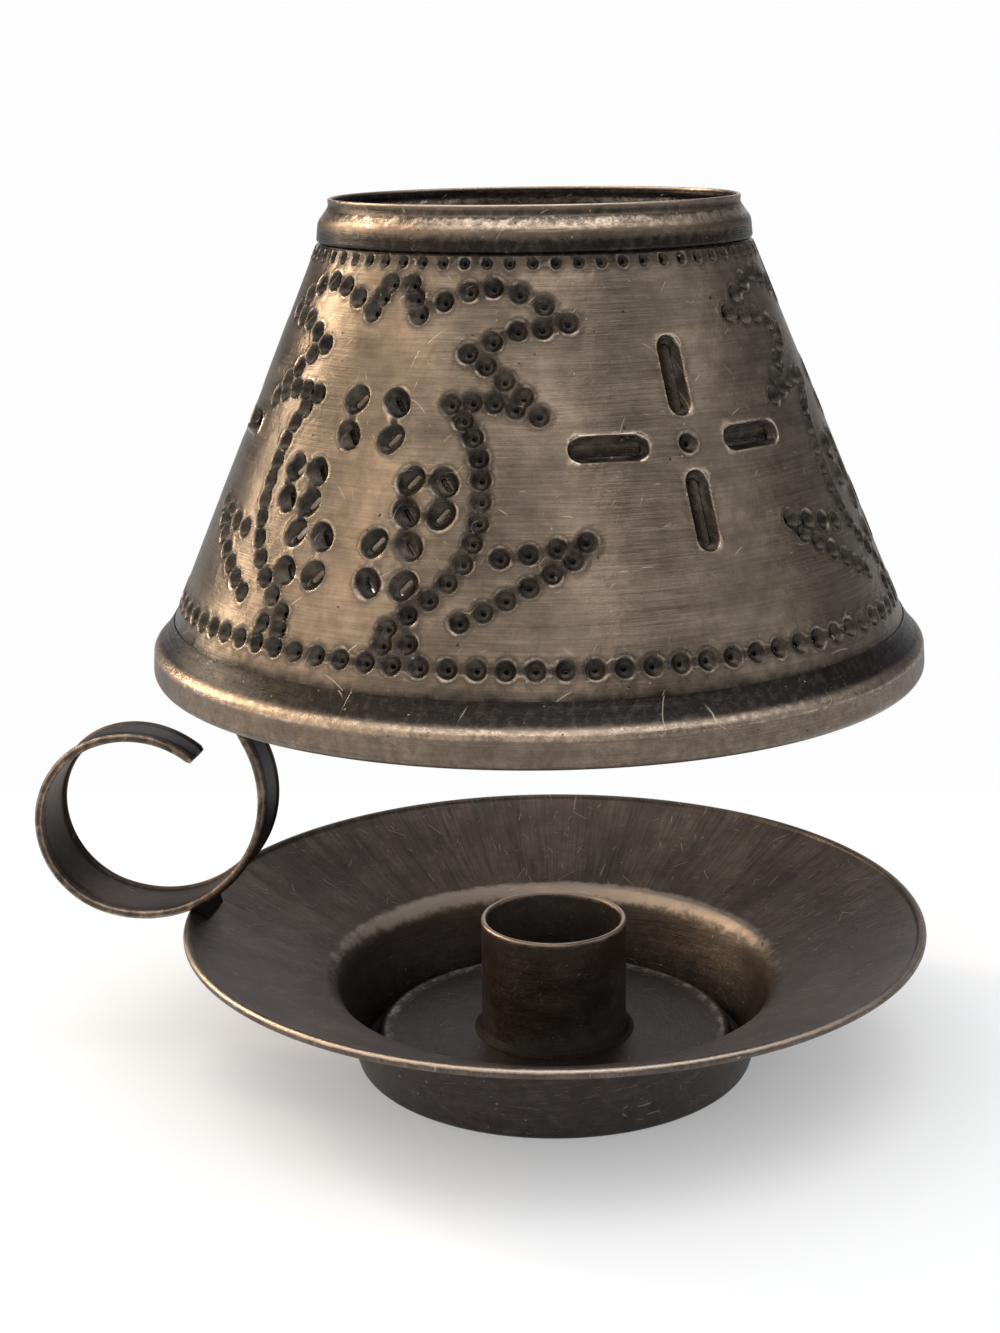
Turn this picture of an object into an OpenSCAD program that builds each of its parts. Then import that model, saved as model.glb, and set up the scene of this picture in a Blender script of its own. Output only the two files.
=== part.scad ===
// Punched tin candle lantern: a drip pan with a candle socket, a scroll handle that rises to a
// wire carrier ring, and a punched conical shade that sits on the ring and lifts off.
// Millimetres, +Z up, origin on the candle axis at the surface that the pan stands on.
// The handle points to -X, and angles on the shade run from the front (-Y) towards +X.

/* [Drip pan] */
// Diameter of the pan over its hemmed rim
pan_d = 123; // [112:1:134]
// Height of the top of the rim above the table
pan_h = 25.4; // [23:0.2:30]
// Diameter of the shoulder where the flare drops into the well
shoulder_d = 75; // [70:1:80]
// Height of the shoulder on the middle of the sheet
shoulder_h = 14.8; // [13:0.2:17]
// Diameter of the foot that the pan stands on
foot_d = 63; // [56:1:66]
// Height of the top of the raised floor
floor_h = 4.4; // [3.6:0.1:6]
// Thickness of the pan's sheet
pan_sheet = 0.8; // [0.6:0.1:1]
// Diameter of the hem along the rim
hem_d = 1.5; // [1.2:0.1:2.2]

/* [Candle socket] */
// Bore of the socket, for a 7/8 inch taper candle
bore_d = 22.6; // [20:0.1:25]
// Wall of the socket
socket_wall = 0.9; // [0.7:0.1:1.2]
// Height of the socket above the pan's floor
socket_h = 19.7; // [14:0.1:26]
// Thickness of the socket's bottom
socket_base = 0.8; // [0.6:0.1:1.2]
// Width of the solder fillet round the socket's foot
fillet_w = 1; // [0.6:0.1:1.5]

/* [Handle] */
// Angle between the handle's plane and the X axis
handle_turn = 9; // [4:1:14]
// How far the handle's plane lies in front of the candle axis
handle_shift = 5; // [2:0.5:7]
// Widest part of the strap, low in the loop
strap_wide = 13; // [10:0.5:15]
// Width of the strap at both its ends
strap_narrow = 7; // [6:0.5:9]
// Place of the widest part, as a share of the strap's length
widest_at = 0.4; // [0.3:0.05:0.6]
// Thickness of the strap over its hems
strap_t = 1.5; // [1.2:0.1:1.8]
// Bevel along the strap's edges
strap_bevel = 0.4; // [0.3:0.05:0.5]
// Lean of the strap where it rests on the rim
rest_lean = 20.5; // [18:0.5:26]
// Bend radius across the bottom of the loop
bottom_bend = 22; // [20:0.5:24]
// Bend radius round the outer end of the loop
outer_bend = 15; // [13:0.5:17]
// Bend radius over the top of the loop
top_bend = 16.8; // [15:0.2:18]
// Bend radius of the inner branch
inner_bend = 19.5; // [18:0.5:21]

/* [Carrier ring] */
// Height of the ring's middle above the table
ring_h = 76.5; // [70:0.5:90]
// Diameter of the ring's wire
ring_wire_d = 3; // [2.4:0.1:3.4]
// Room between the ring and the rolled rim of the shade as it lifts
lift_room = 0.5; // [0.4:0.05:1]
// Gap between the ring and the shade that rests on it
seat_gap = 0.15; // [0.1:0.01:0.3]

/* [Shade] */
// Diameter of the shade over its rolled rim
shade_d = 123; // [114:1:132]
// Outside diameter of the neck
neck_d = 63.2; // [58:0.2:68]
// Height of the shade
shade_h = 73.4; // [68:0.2:80]
// How far the shade stands off the candle axis, towards the handle
shade_shift = 2.2; // [0:0.1:3]
// Thickness of the shade's sheet
shade_sheet = 0.5; // [0.4:0.05:0.7]
// Diameter of the wire inside the rolled rim
rim_wire_d = 2.1; // [1.6:0.1:2.6]
// Height of the rim band up the cone
band_h = 6.2; // [5:0.1:8]
// Height of the neck and its bead above the cone
collar_h = 7; // [6:0.1:8]
// Overlap of the rolled sheet's lap seam, in degrees
lap_turn = 9; // [6:0.5:12]
// Diameter of the seam rivets' heads
seam_head_d = 3.2; // [2.4:0.1:3.6]
// Diameter of the seam rivets' shanks
seam_rivet_d = 1.6; // [1.2:0.1:2]

/* [Punching] */
// Diameter of the round punched holes
dot_d = 1; // [0.8:0.1:1.4]
// Holes in the row above the rim, a multiple of three
rim_dots = 87; // [75:3:96]
// Holes in the row round the neck, a multiple of three
neck_dots = 66; // [54:3:72]
// Length of the chisel slits
slit_l = 3; // [2.4:0.1:3.4]
// Width of the chisel slits
slit_w = 1.1; // [0.8:0.1:1.3]
// Length of the four long slots of the cross
slot_l = 11; // [9:0.5:12]
// Width of the four long slots of the cross
slot_w = 1.7; // [1.3:0.1:2]
// Distance from the middle of the cross to the middle of its upright slots
cross_up = 9; // [8:0.5:10]
// Distance from the middle of the cross to the middle of its level slots
cross_side = 12; // [10:0.5:13]

/* [Hidden] */
$fn = 96;

// Clearance between pieces that are soldered, folded or riveted together
fit = 0.05;
// Grid of the points in the sheets' profiles
grid = 0.0001;
// The solder at the strap's foot: its reach in from the rim, its toe's height, its width and its arc
solder_reach = 3.2;
solder_toe_h = 0.4;
solder_w = strap_wide * 0.6;
solder_turn = 8;
// The gap that solder fills between the carrier ring and the strap, and the solder's half height
solder_gap = 0.5;
ring_solder_h = 2;
// Gap that solder fills where the strap crosses the hem
rest_gap = 0.12;

pan_r = pan_d / 2;
hem_r = hem_d / 2;
foot_r = foot_d / 2;
shoulder_r = shoulder_d / 2;
floor_mid = floor_h - pan_sheet / 2;
// Width of the foot channel between the raised floor's ridge and the wall
channel_w = 2.6;
// Height of the pressed ridge round the raised floor, its inner side's width and its slope's width
ridge_h = 0.6;
ridge_w = 1.8;
ridge_slope = 1.1;
// The channel's inner side leans by this much
channel_lean = 0.6;
// How far below the shoulder the wall meets it
shoulder_step = 0.8;
// The flare is dished a little between the shoulder and the hem
flare_dish = 0.5;
flare_mid = [(shoulder_r + pan_r) / 2, (shoulder_h + pan_h - hem_r) / 2 - flare_dish];
// Bend radii pressed into the pan
floor_bend = 2;
foot_bend = 0.8;
shoulder_bend = 5;
flare_bend = 40;

bore_r = bore_d / 2;
socket_r = bore_r + socket_wall;
socket_bottom = floor_h;
socket_top = floor_h + socket_h;
// The socket's foot is a little wider than its lip, up to a small height
socket_flare = 0.25;
socket_flare_h = 3;
socket_slope = socket_flare / (socket_flare_h - fit);
// Top of a rivet head as a share of its foot
head_taper = 0.8;
seam_head_h = 0.6;

rim_r = shade_d / 2;
rim_wire_r = rim_wire_d / 2;
roll_r = rim_wire_r + fit + shade_sheet;
roll_mid_r = rim_r - roll_r;
roll_mid_z = roll_r;
cone_foot_z = roll_mid_z + rim_wire_r + fit + shade_sheet / 2;
// The cone's foot stands this far inside the rim band, and its top this far outside the neck
foot_inset = 0.4;
top_step = 1.9;
cone_foot_r = rim_r - shade_sheet - fit - foot_inset;
cone_top_z = shade_h - collar_h + fit;
cone_top_r = neck_d / 2 + top_step;
tan_wall = (cone_foot_r - cone_top_r) / (cone_top_z - cone_foot_z);
cone_lean = atan(tan_wall);
neck_row_drop = 0.9;
neck_row_z = cone_top_z - neck_row_drop;
rim_row_z = 12.9;
// The lap seam ends below the neck row
lap_end_drop = 2;
// Neck: a straight lip, a swelling bead, then a flange tucked inside the cone's top
lip_h = 1.3;
lip_lean = 0.1;
bead_drop = 3.6;
bead_in = 0.55;
bead_bend = 2.2;
tuck_h = 0.5;
flange_h = 2.2;
// Rim band: a step off the cone, a rounded shoulder, then the roll round the wire
band_step = 0.75;
band_step_h = 0.4;
band_side_h = 1.2;
roll_turn = -205;
bead_steps = 20;
// Sheet thickness measured level, through the leaning wall
level_sheet = shade_sheet / cos(cone_lean);

ring_wire_r = ring_wire_d / 2;
ring_r = roll_mid_r - roll_r - lift_room - ring_wire_r;
// The ring touches the wall where the wall's inside radius is ring_r plus this reach
wall_reach = (ring_wire_r + seat_gap) / cos(cone_lean);
shade_z = ring_h - (cone_top_z - (ring_r + wall_reach + level_sheet - cone_top_r) / tan_wall);

// The handle's plane: distance out along it, across it, and height
strap_out = [-cos(handle_turn), sin(handle_turn)];
strap_steps = 9;
arm_steps = 16;
rest_heading = 180 - rest_lean;
hem_mid = [crossing(pan_r - hem_r, 0), pan_h - hem_r];
rest_point = hem_mid + (hem_r + rest_gap + strap_t / 2) * [sin(rest_heading), -cos(rest_heading)];
ring_out = crossing(ring_r, shade_shift);
arm_end = [ring_out - ring_wire_r - solder_gap - strap_t / 2, ring_h + ring_wire_r];
// The arm is upright from here to its end, along the solder
arm_knee = [arm_end[0], ring_h - 2 * ring_solder_h];
// Directions of the strap's centre line, from the free end to the foot of the arm
free_heading = 400;
top_heading = 338;
outer_heading = 196;
inner_heading = 120;
arm_heading = 62;

// Punched motif, as [degrees from its middle, height above the rim] of one half
motif_turn = -32;
cross_turn = 29;
crown = [[6.3, 58.6], [11.8, 60.4], [17.4, 61.8], [23, 62.3], [29, 61.5], [34.5, 59.9], [39.5, 57.5]];
stem = [[3, 62.6], [4.7, 60.7]];
brow = [[34, 56.8], [28.7, 56.6], [23.5, 55.2], [18.5, 53.6]];
fold = [[22.5, 52], [26.3, 50], [30, 47.9], [33, 45.4]];
shelf = [[28.6, 46.4], [24.5, 47.1], [20.2, 47.2], [16, 46.9]];
flank = [[18.8, 44.8], [20.9, 42.6], [22.2, 39.9], [22.8, 37.1], [23, 34.3], [22.8, 31.6], [22, 29],
         [20.7, 26.3], [18.5, 23.8], [15.8, 21.5], [12.8, 19.4], [9.8, 17.5]];
leaf = [[26.5, 27.1], [31, 27.6], [35.6, 28.3], [40.3, 29], [38, 26.8], [34.6, 25.1], [31.1, 23.4],
        [27.6, 21.8], [24.2, 20.2], [20.8, 18.8]];
foot = [[13.4, 15.7], [9.4, 15.3]];
half_motif = concat(crown, stem, brow, fold, shelf, flank, leaf, foot);
// Four-slit clusters: [degrees, height] of the middle, then of each slit from the middle
upper_petals = [[0, 44.4], [4.8, 2.4]];
middle_petals = [[13.3, 34.6], [3.1, 2.1]];
lower_petals = [[8.4, 25.7], [3.1, 2.6]];
petal_lean = 40;
cross_z = 41;
// Depth of a punch through the wall and its lap
punch = 4;

// Distance out along the handle's plane at which it is r from the upright axis at x = -back
function crossing(r, back) =
    let(b = back * cos(handle_turn) + handle_shift * sin(handle_turn),
        c = back * back + handle_shift * handle_shift - r * r)
    b + sqrt(b * b - c);

function unit(v) = v / norm(v);

// Outside radius of the cone at height z above the shade's lowest point
function cone_r(z) = cone_top_r + (cone_top_z - z) * tan_wall;

// Points of an arc about c from angle a to angle b
function arc(c, r, a, b, n) = [for (i = [0:n]) c + r * [cos(a + (b - a) * i / n), sin(a + (b - a) * i / n)]];

// Points that round the corner b of the path a, b, c to radius r
function corner(a, b, c, r, n = 8) =
    let(u = unit(a - b), v = unit(c - b), half = acos(u * v) / 2, mid = b + unit(u + v) * r / sin(half),
        p = b + u * r / tan(half) - mid, q = b + v * r / tan(half) - mid,
        start = atan2(p[1], p[0]), raw = atan2(q[1], q[0]) - start,
        sweep = raw > 180 ? raw - 360 : raw < -180 ? raw + 360 : raw)
    arc(mid, r, start, start + sweep, n);

// Path through points [x, y, r], each inner point rounded to its radius r
function rounded(p) = [for (i = [0:len(p) - 1])
    each (i == 0 || i == len(p) - 1 || p[i][2] == 0 ? [[p[i][0], p[i][1]]] :
        corner([p[i - 1][0], p[i - 1][1]], [p[i][0], p[i][1]], [p[i + 1][0], p[i + 1][1]], p[i][2]))];

function side_of(p, i) =
    let(d = unit(p[min(i + 1, len(p) - 1)] - p[max(i - 1, 0)])) [-d[1], d[0]];

// Points rounded off to the grid, so that level stretches stay exactly level
function on_grid(p) = [for (q = p) [round(q[0] / grid) * grid, round(q[1] / grid) * grid]];

// Sheet of thickness t with its middle along the path p, and a round bead on its last point
module sheet_profile(p, t, bead_r) {
    last = len(p) - 1;
    ahead = unit(p[last] - p[last - 1]);
    heading = atan2(ahead[1], ahead[0]);
    behind = asin(t / 2 / bead_r);
    bead = arc(p[last], bead_r, heading + 180 - behind, heading - 180 + behind, bead_steps);
    polygon(on_grid(concat([for (i = [0:last - 1]) p[i] + side_of(p, i) * t / 2], bead,
                           [for (i = [last - 1:-1:0]) p[i] - side_of(p, i) * t / 2])));
}

// Centre line of the strap
function bend(p, h, r, turn, n) =
    let(mid = p + r * [sin(h), -cos(h)])
    [for (i = [0:n]) let(a = h + turn * i / n) mid + r * [-sin(a), cos(a)]];
function last_of(p) = p[len(p) - 1];
function reversed(p) = [for (i = [len(p) - 1:-1:0]) p[i]];
function tail(p) = [for (i = [1:len(p) - 1]) p[i]];

// Smooth curve from p with direction h to q, arriving upright
function rise(p, h, q, n) =
    let(pull = norm(q - p) / 3, a = p + pull * [cos(h), sin(h)], b = q - [0, pull])
    [for (i = [0:n]) let(t = i / n, s = 1 - t)
        s * s * s * p + 3 * s * s * t * a + 3 * s * t * t * b + t * t * t * q];

function strap_path() =
    let(low = bend(rest_point, rest_heading, bottom_bend, outer_heading - rest_heading, strap_steps),
        outer = bend(last_of(low), outer_heading, outer_bend, top_heading - outer_heading, 3 * strap_steps),
        top = bend(last_of(outer), top_heading, top_bend, free_heading - top_heading, strap_steps),
        back = bend(rest_point, rest_heading, bottom_bend, inner_heading - rest_heading, strap_steps),
        inner = bend(last_of(back), inner_heading, inner_bend, arm_heading - inner_heading, strap_steps),
        arm = rise(last_of(inner), arm_heading, arm_knee, arm_steps))
    concat(reversed(concat(low, tail(outer), tail(top))), tail(back), tail(inner), tail(arm), [arm_end]);

// Width of the strap at share u of its length
widest_skew = ln(0.5) / ln(widest_at);
function strap_w(u) = strap_narrow + (strap_wide - strap_narrow) * pow(sin(180 * pow(u, widest_skew)), 2);

// Point of the part's frame from distance out, across and height in the handle's plane
function in_plane(out, across, z) =
    [strap_out[0] * out + sin(handle_turn) * across,
     strap_out[1] * out - handle_shift + cos(handle_turn) * across, z];

function strap_ring(p, i, w) =
    let(n = side_of(p, i), h = strap_t / 2, e = w / 2, k = strap_bevel)
    [for (q = [[e - k, h], [e, h - k], [e, k - h], [e - k, -h],
               [k - e, -h], [-e, k - h], [-e, h - k], [k - e, h]])
        let(c = p[i] + n * q[1]) in_plane(c[0], q[0], c[1])];

module strap_body() {
    p = strap_path();
    last = len(p) - 1;
    sides = 8;
    skin = [for (i = [0:last]) each strap_ring(p, i, strap_w(i / last))];
    walls = [for (i = [0:last - 1]) for (j = [0:sides - 1])
        let(a = i * sides + j, b = i * sides + (j + 1) % sides)
        each [[a, b, b + sides], [a, b + sides, a + sides]]];
    near_cap = [for (j = [1:sides - 2]) [0, j + 1, j]];
    far_cap = [for (j = [1:sides - 2]) [last * sides, last * sides + j, last * sides + j + 1]];
    polyhedron(skin, concat(walls, near_cap, far_cap), convexity = 8);
}

// Moves a shape from the shade's own frame, with its lowest point at z = 0, to its place
module on_shade() translate([-shade_shift, 0, shade_z]) children();

// Places a shape on the cone at an angle from the front, its Z axis square to the wall
module on_wall(turn, z) rotate([0, 0, turn - 90]) translate([cone_r(z), 0, z]) rotate([0, 90 - cone_lean, 0])
    children();

module dot(turn, z) on_wall(turn, z) cylinder(d = dot_d, h = punch, center = true);

// Slit or slot with round ends, its length turned from upright by lean
module slot(turn, z, length, width, lean) on_wall(turn, z) rotate([0, 0, lean]) union() {
    cube([length - width, width, punch], center = true);
    for (end = [-1, 1]) translate([end * (length - width) / 2, 0, 0])
        cylinder(d = width, h = punch, center = true);
}

module petals(cluster, side) {
    mid = cluster[0];
    span = cluster[1];
    for (x = [-1, 1]) for (z = [-1, 1])
        slot(side * mid[0] + x * span[0], mid[1] + z * span[1], slit_l, slit_w, x * z * petal_lean);
}

module motif() {
    for (side = [-1, 1]) for (d = half_motif) dot(side * d[0], d[1]);
    petals(upper_petals, 1);
    for (side = [-1, 1]) for (cluster = [middle_petals, lower_petals]) petals(cluster, side);
}

module cross() {
    dot(0, cross_z);
    for (side = [-1, 1]) {
        slot(0, cross_z + side * cross_up, slot_l, slot_w, 0);
        slot(side * cross_side / cone_r(cross_z) * 180 / PI, cross_z, slot_l, slot_w, 90);
    }
}

module punching() {
    for (i = [0:rim_dots - 1]) dot(i * 360 / rim_dots, rim_row_z);
    for (i = [0:neck_dots - 1]) dot(i * 360 / neck_dots, neck_row_z);
    for (i = [0:2]) {
        rotate([0, 0, motif_turn + i * 120]) motif();
        rotate([0, 0, cross_turn + i * 120]) cross();
    }
}

module drip_pan() color([0.17, 0.15, 0.14]) {
    ridge_out = foot_r - channel_w - ridge_slope;
    rotate_extrude() sheet_profile(rounded([
        [0, floor_mid, 0],
        [ridge_out - ridge_w, floor_mid, floor_bend],
        [ridge_out, floor_mid + ridge_h, foot_bend],
        [foot_r - channel_w + channel_lean, pan_sheet / 2, foot_bend],
        [foot_r, pan_sheet / 2, foot_bend],
        [shoulder_r - shoulder_step, shoulder_h - shoulder_step, shoulder_bend],
        [flare_mid[0], flare_mid[1], flare_bend],
        [pan_r - hem_r, pan_h - hem_r, 0]]), pan_sheet, hem_r);
}

module candle_socket() color([0.16, 0.14, 0.13]) rotate_extrude() polygon(concat(
    [[0, socket_bottom + fit], [socket_r + socket_flare, socket_bottom + fit],
     [socket_r, socket_bottom + socket_flare_h]],
    arc([socket_r - socket_wall / 2, socket_top - socket_wall / 2], socket_wall / 2, 0, 180, 8),
    [[bore_r, socket_bottom + socket_base], [0, socket_bottom + socket_base]]));

// Solder in the corner between the socket's foot and the pan's floor
module socket_solder() color([0.24, 0.22, 0.2]) {
    foot = [socket_r + socket_flare + fit, socket_bottom + fit];
    rotate_extrude() polygon([foot, foot + [fillet_w, 0], foot + fillet_w * [0.35, 0.35],
                              foot + fillet_w * [-socket_slope, 1]]);
}

// Extrudes a shape drawn in the handle's plane, across that plane
module in_handle_plane(width) translate([0, -handle_shift, 0]) rotate([0, 0, 180 - handle_turn])
    rotate([90, 0, 0]) linear_extrude(height = width, center = true) children();

module handle_strap() color([0.19, 0.17, 0.16]) strap_body();

// Fillet of solder between the strap and the flare, just inside the rim
module handle_solder() color([0.1, 0.09, 0.08]) {
    face = strap_t / 2 + fit;
    run = bend(rest_point, rest_heading, bottom_bend, -solder_turn, solder_turn);
    under = [for (i = [0:solder_turn]) run[i] + side_of(run, i) * face];
    flare_rise = (pan_h - hem_r - flare_mid[1]) / (pan_r - hem_r - flare_mid[0]);
    toe = hem_mid + [-solder_reach, pan_sheet - solder_reach * flare_rise];
    in_handle_plane(solder_w) polygon([
        hem_mid + [-hem_r, hem_r], under[2], under[5], last_of(under),
        toe + [0, solder_toe_h], toe, hem_mid + [-hem_r - 2 * fit, pan_sheet / 2]]);
}

module carrier_ring() color([0.2, 0.18, 0.17]) translate([-shade_shift, 0, ring_h])
    rotate_extrude() translate([ring_r, 0]) circle(r = ring_wire_r);

// Solder that joins the ring to the top of the strap
module ring_solder() color([0.32, 0.3, 0.28]) {
    strap_face = arm_end[0] + strap_t / 2 + fit;
    ring_face = ring_out - ring_wire_r * 0.7;
    in_handle_plane(strap_narrow - strap_t) polygon([
        [strap_face, ring_h - ring_solder_h], [ring_face, ring_h - ring_wire_r / 2],
        [ring_face, ring_h + ring_wire_r / 2], [strap_face, ring_h + ring_wire_r]]);
}

module shade_cone() color([0.46, 0.42, 0.37]) on_shade() difference() {
    profile = [[cone_foot_r, cone_foot_z], [cone_top_r, cone_top_z],
               [cone_top_r - level_sheet, cone_top_z], [cone_foot_r - level_sheet, cone_foot_z]];
    lap_z = cone_foot_z + band_h;
    lap_top = neck_row_z - lap_end_drop;
    union() {
        rotate_extrude() polygon(profile);
        rotate([0, 0, seam_turn() - 90 - lap_turn / 2]) rotate_extrude(angle = lap_turn)
            polygon([[cone_r(lap_z) - level_sheet / 2, lap_z], [cone_r(lap_z) + level_sheet, lap_z],
                     [cone_r(lap_top) + level_sheet, lap_top],
                     [cone_r(lap_top) - level_sheet / 2, lap_top]]);
    }
    punching();
    for (z = seam_heights()) on_wall(seam_turn(), z)
        cylinder(d = seam_rivet_d + 2 * fit, h = punch, center = true);
}

// The seam runs up the back, and its rivets pass between the punched rows
function seam_turn() = 177.5;
function seam_heights() = [18.5, 37, 52.5];

module shade_seam_rivets() color([0.4, 0.37, 0.33]) on_shade() {
    wide = seam_head_d / 2;
    small = wide * head_taper;
    face = shade_sheet + fit;
    for (z = seam_heights()) on_wall(seam_turn(), z) {
        translate([0, 0, -face - fit]) cylinder(d = seam_rivet_d, h = 2 * (face + fit));
        translate([0, 0, -face - seam_head_h]) cylinder(r1 = small, r2 = wide, h = seam_head_h);
        translate([0, 0, face]) cylinder(r1 = wide, r2 = small, h = seam_head_h);
    }
}

module shade_collar() color([0.45, 0.41, 0.36]) on_shade() difference() {
    neck_mid = neck_d / 2 - shade_sheet / 2;
    inner_r = cone_r(neck_row_z) - level_sheet - fit - level_sheet / 2;
    tuck_z = cone_top_z + fit + shade_sheet / 2;
    rotate_extrude() sheet_profile(rounded([
        [inner_r + flange_h * tan_wall, neck_row_z - flange_h, 0],
        [inner_r + (neck_row_z - tuck_z) * tan_wall, tuck_z, tuck_h / 2],
        [cone_top_r - bead_in / 2, tuck_z + tuck_h, tuck_h / 2],
        [cone_top_r - bead_in, shade_h - bead_drop, bead_bend],
        [neck_mid - lip_lean, shade_h - lip_h, lip_h],
        [neck_mid, shade_h - shade_sheet / 2, 0]]), shade_sheet, shade_sheet / 2);
    for (i = [0:neck_dots - 1]) dot(i * 360 / neck_dots, neck_row_z);
}

module shade_rim_band() color([0.47, 0.43, 0.38]) on_shade() {
    mid = rim_wire_r + fit + shade_sheet / 2;
    top_z = band_h;
    top_r = cone_r(top_z) + fit + level_sheet / 2;
    out = roll_mid_r + mid;
    roll = arc([roll_mid_r, roll_mid_z], mid, 0, roll_turn, bead_steps);
    rotate_extrude() sheet_profile(concat(rounded([
        [top_r, top_z, 0],
        [top_r + band_step, top_z - band_step_h, band_step_h],
        [out, roll_mid_z + band_side_h, band_side_h],
        [out, roll_mid_z, 0]]), tail(roll)), shade_sheet, shade_sheet / 2);
}

module shade_rim_wire() color([0.35, 0.32, 0.29]) on_shade() rotate_extrude()
    translate([roll_mid_r, roll_mid_z]) circle(r = rim_wire_r, $fn = 48);

drip_pan();
candle_socket();
socket_solder();
handle_strap();
handle_solder();
carrier_ring();
ring_solder();
shade_cone();
shade_seam_rivets();
shade_collar();
shade_rim_band();
shade_rim_wire();
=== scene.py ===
"""Looks of a punched tin candle lantern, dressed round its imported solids.

Lengths are in millimetres inside the classes and turn into metres when a mesh is made. Turns are
in degrees round the lantern, from its front (-Y) towards +X.
"""

import logging
import math
from dataclasses import dataclass, field
from enum import Enum

import bpy
import numpy as np
from mathutils import Matrix, Vector
from mathutils.geometry import delaunay_2d_cdt


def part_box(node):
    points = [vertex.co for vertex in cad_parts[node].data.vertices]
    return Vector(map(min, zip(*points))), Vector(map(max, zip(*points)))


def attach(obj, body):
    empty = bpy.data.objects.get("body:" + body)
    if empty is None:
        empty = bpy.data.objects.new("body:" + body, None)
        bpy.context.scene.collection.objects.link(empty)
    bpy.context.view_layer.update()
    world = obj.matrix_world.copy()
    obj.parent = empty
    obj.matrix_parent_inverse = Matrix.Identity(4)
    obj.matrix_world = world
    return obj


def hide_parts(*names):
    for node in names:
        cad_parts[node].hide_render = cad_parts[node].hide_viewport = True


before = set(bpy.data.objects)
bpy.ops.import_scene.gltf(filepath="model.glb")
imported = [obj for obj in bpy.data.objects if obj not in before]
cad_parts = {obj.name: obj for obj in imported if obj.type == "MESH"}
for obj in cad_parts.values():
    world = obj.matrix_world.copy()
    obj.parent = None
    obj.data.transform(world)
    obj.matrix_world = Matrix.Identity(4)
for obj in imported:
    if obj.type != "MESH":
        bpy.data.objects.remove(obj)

MM = 0.001
FULL_TURN = 2 * math.pi
ON_AXIS = 1e-6
BEAD_STEPS = 14
CORNER_STEPS = 10
LOG = logging.getLogger("lantern")

Colour = tuple[float, float, float]


# Plane curves


def smooth_step(low: float, high: float, value: np.ndarray) -> np.ndarray:
    """Eases from 0 to 1 as the value goes from low to high.

    Args:
        low: Value at which the result leaves 0.
        high: Value at which the result reaches 1.
        value: Values to ease.

    Returns:
        The eased values.
    """
    share = np.clip((value - low) / (high - low), 0, 1)
    return share * share * (3 - 2 * share)


def arc(centre: np.ndarray, radius: float, start: float, end: float, steps: int) -> np.ndarray:
    """Points of an arc.

    Args:
        centre: Middle of the arc.
        radius: Radius of the arc.
        start: Angle of the first point, in degrees.
        end: Angle of the last point, in degrees.
        steps: Number of chords.

    Returns:
        An array of steps + 1 points.
    """
    angles = np.radians(np.linspace(start, end, steps + 1))
    return np.asarray(centre) + radius * np.column_stack([np.cos(angles), np.sin(angles)])


def unit(vector: np.ndarray) -> np.ndarray:
    """The vector at length one."""
    return vector / np.linalg.norm(vector)


def rounded_path(corners: list[tuple[float, float, float]]) -> np.ndarray:
    """A path through corners, each rounded to its own radius.

    Args:
        corners: Points as (across, up, radius); a radius of 0 keeps the corner.

    Returns:
        The points of the path.
    """
    points: list[np.ndarray] = []
    last = len(corners) - 1
    for index, (across, up, radius) in enumerate(corners):
        here = np.array([across, up])
        if index in (0, last) or radius == 0:
            points.append(here)
            continue
        back = unit(np.array(corners[index - 1][:2]) - here)
        ahead = unit(np.array(corners[index + 1][:2]) - here)
        half = math.acos(np.clip(back @ ahead, -1, 1)) / 2
        middle = here + unit(back + ahead) * radius / math.sin(half)
        first = here + back * radius / math.tan(half) - middle
        final = here + ahead * radius / math.tan(half) - middle
        start = math.degrees(math.atan2(first[1], first[0]))
        sweep = math.degrees(math.atan2(final[1], final[0])) - start
        sweep = (sweep + 180) % 360 - 180
        points.extend(arc(middle, radius, start, start + sweep, CORNER_STEPS))
    return np.array(points)


def resampled(path: np.ndarray, step: float) -> np.ndarray:
    """The path with extra points, so that no chord is longer than a step.

    Args:
        path: Points of the path.
        step: Longest chord allowed.

    Returns:
        The denser path, which keeps every old point.
    """
    points = [path[0]]
    for start, end in zip(path[:-1], path[1:]):
        pieces = max(1, math.ceil(np.linalg.norm(end - start) / step))
        points.extend(start + (end - start) * k / pieces for k in range(1, pieces + 1))
    return np.array(points)


def places_along(path: np.ndarray) -> np.ndarray:
    """Distance of each point of a path from its start."""
    steps = np.linalg.norm(np.diff(path, axis=0), axis=1)
    return np.concatenate([[0], np.cumsum(steps)])


def left_sides(path: np.ndarray) -> np.ndarray:
    """The direction square to the path on its left, at each of its points."""
    ahead = np.gradient(path, axis=0)
    ahead /= np.linalg.norm(ahead, axis=1, keepdims=True)
    return np.column_stack([-ahead[:, 1], ahead[:, 0]])


def sheet_outline(
        path: np.ndarray, thickness: float | np.ndarray, bead_r: float) -> np.ndarray:
    """Outline of a sheet along a path, which ends in a round bead.

    Args:
        path: Middle of the sheet.
        thickness: Thickness of the sheet, everywhere or at each point.
        bead_r: Radius of the bead on the last point.

    Returns:
        The outline, out along the left side and back along the right.
    """
    ahead = unit(path[-1] - path[-2])
    heading = math.degrees(math.atan2(ahead[1], ahead[0]))
    behind = math.degrees(math.asin(min(1.0, float(np.ravel(thickness)[-1]) / 2 / bead_r)))
    bead = arc(path[-1], bead_r, heading + 180 - behind, heading - 180 + behind, BEAD_STEPS)
    offset = left_sides(path) * np.reshape(thickness, (-1, 1)) / 2
    return np.concatenate([(path + offset)[:-1], bead, (path - offset)[-2::-1]])


# Meshes


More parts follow.
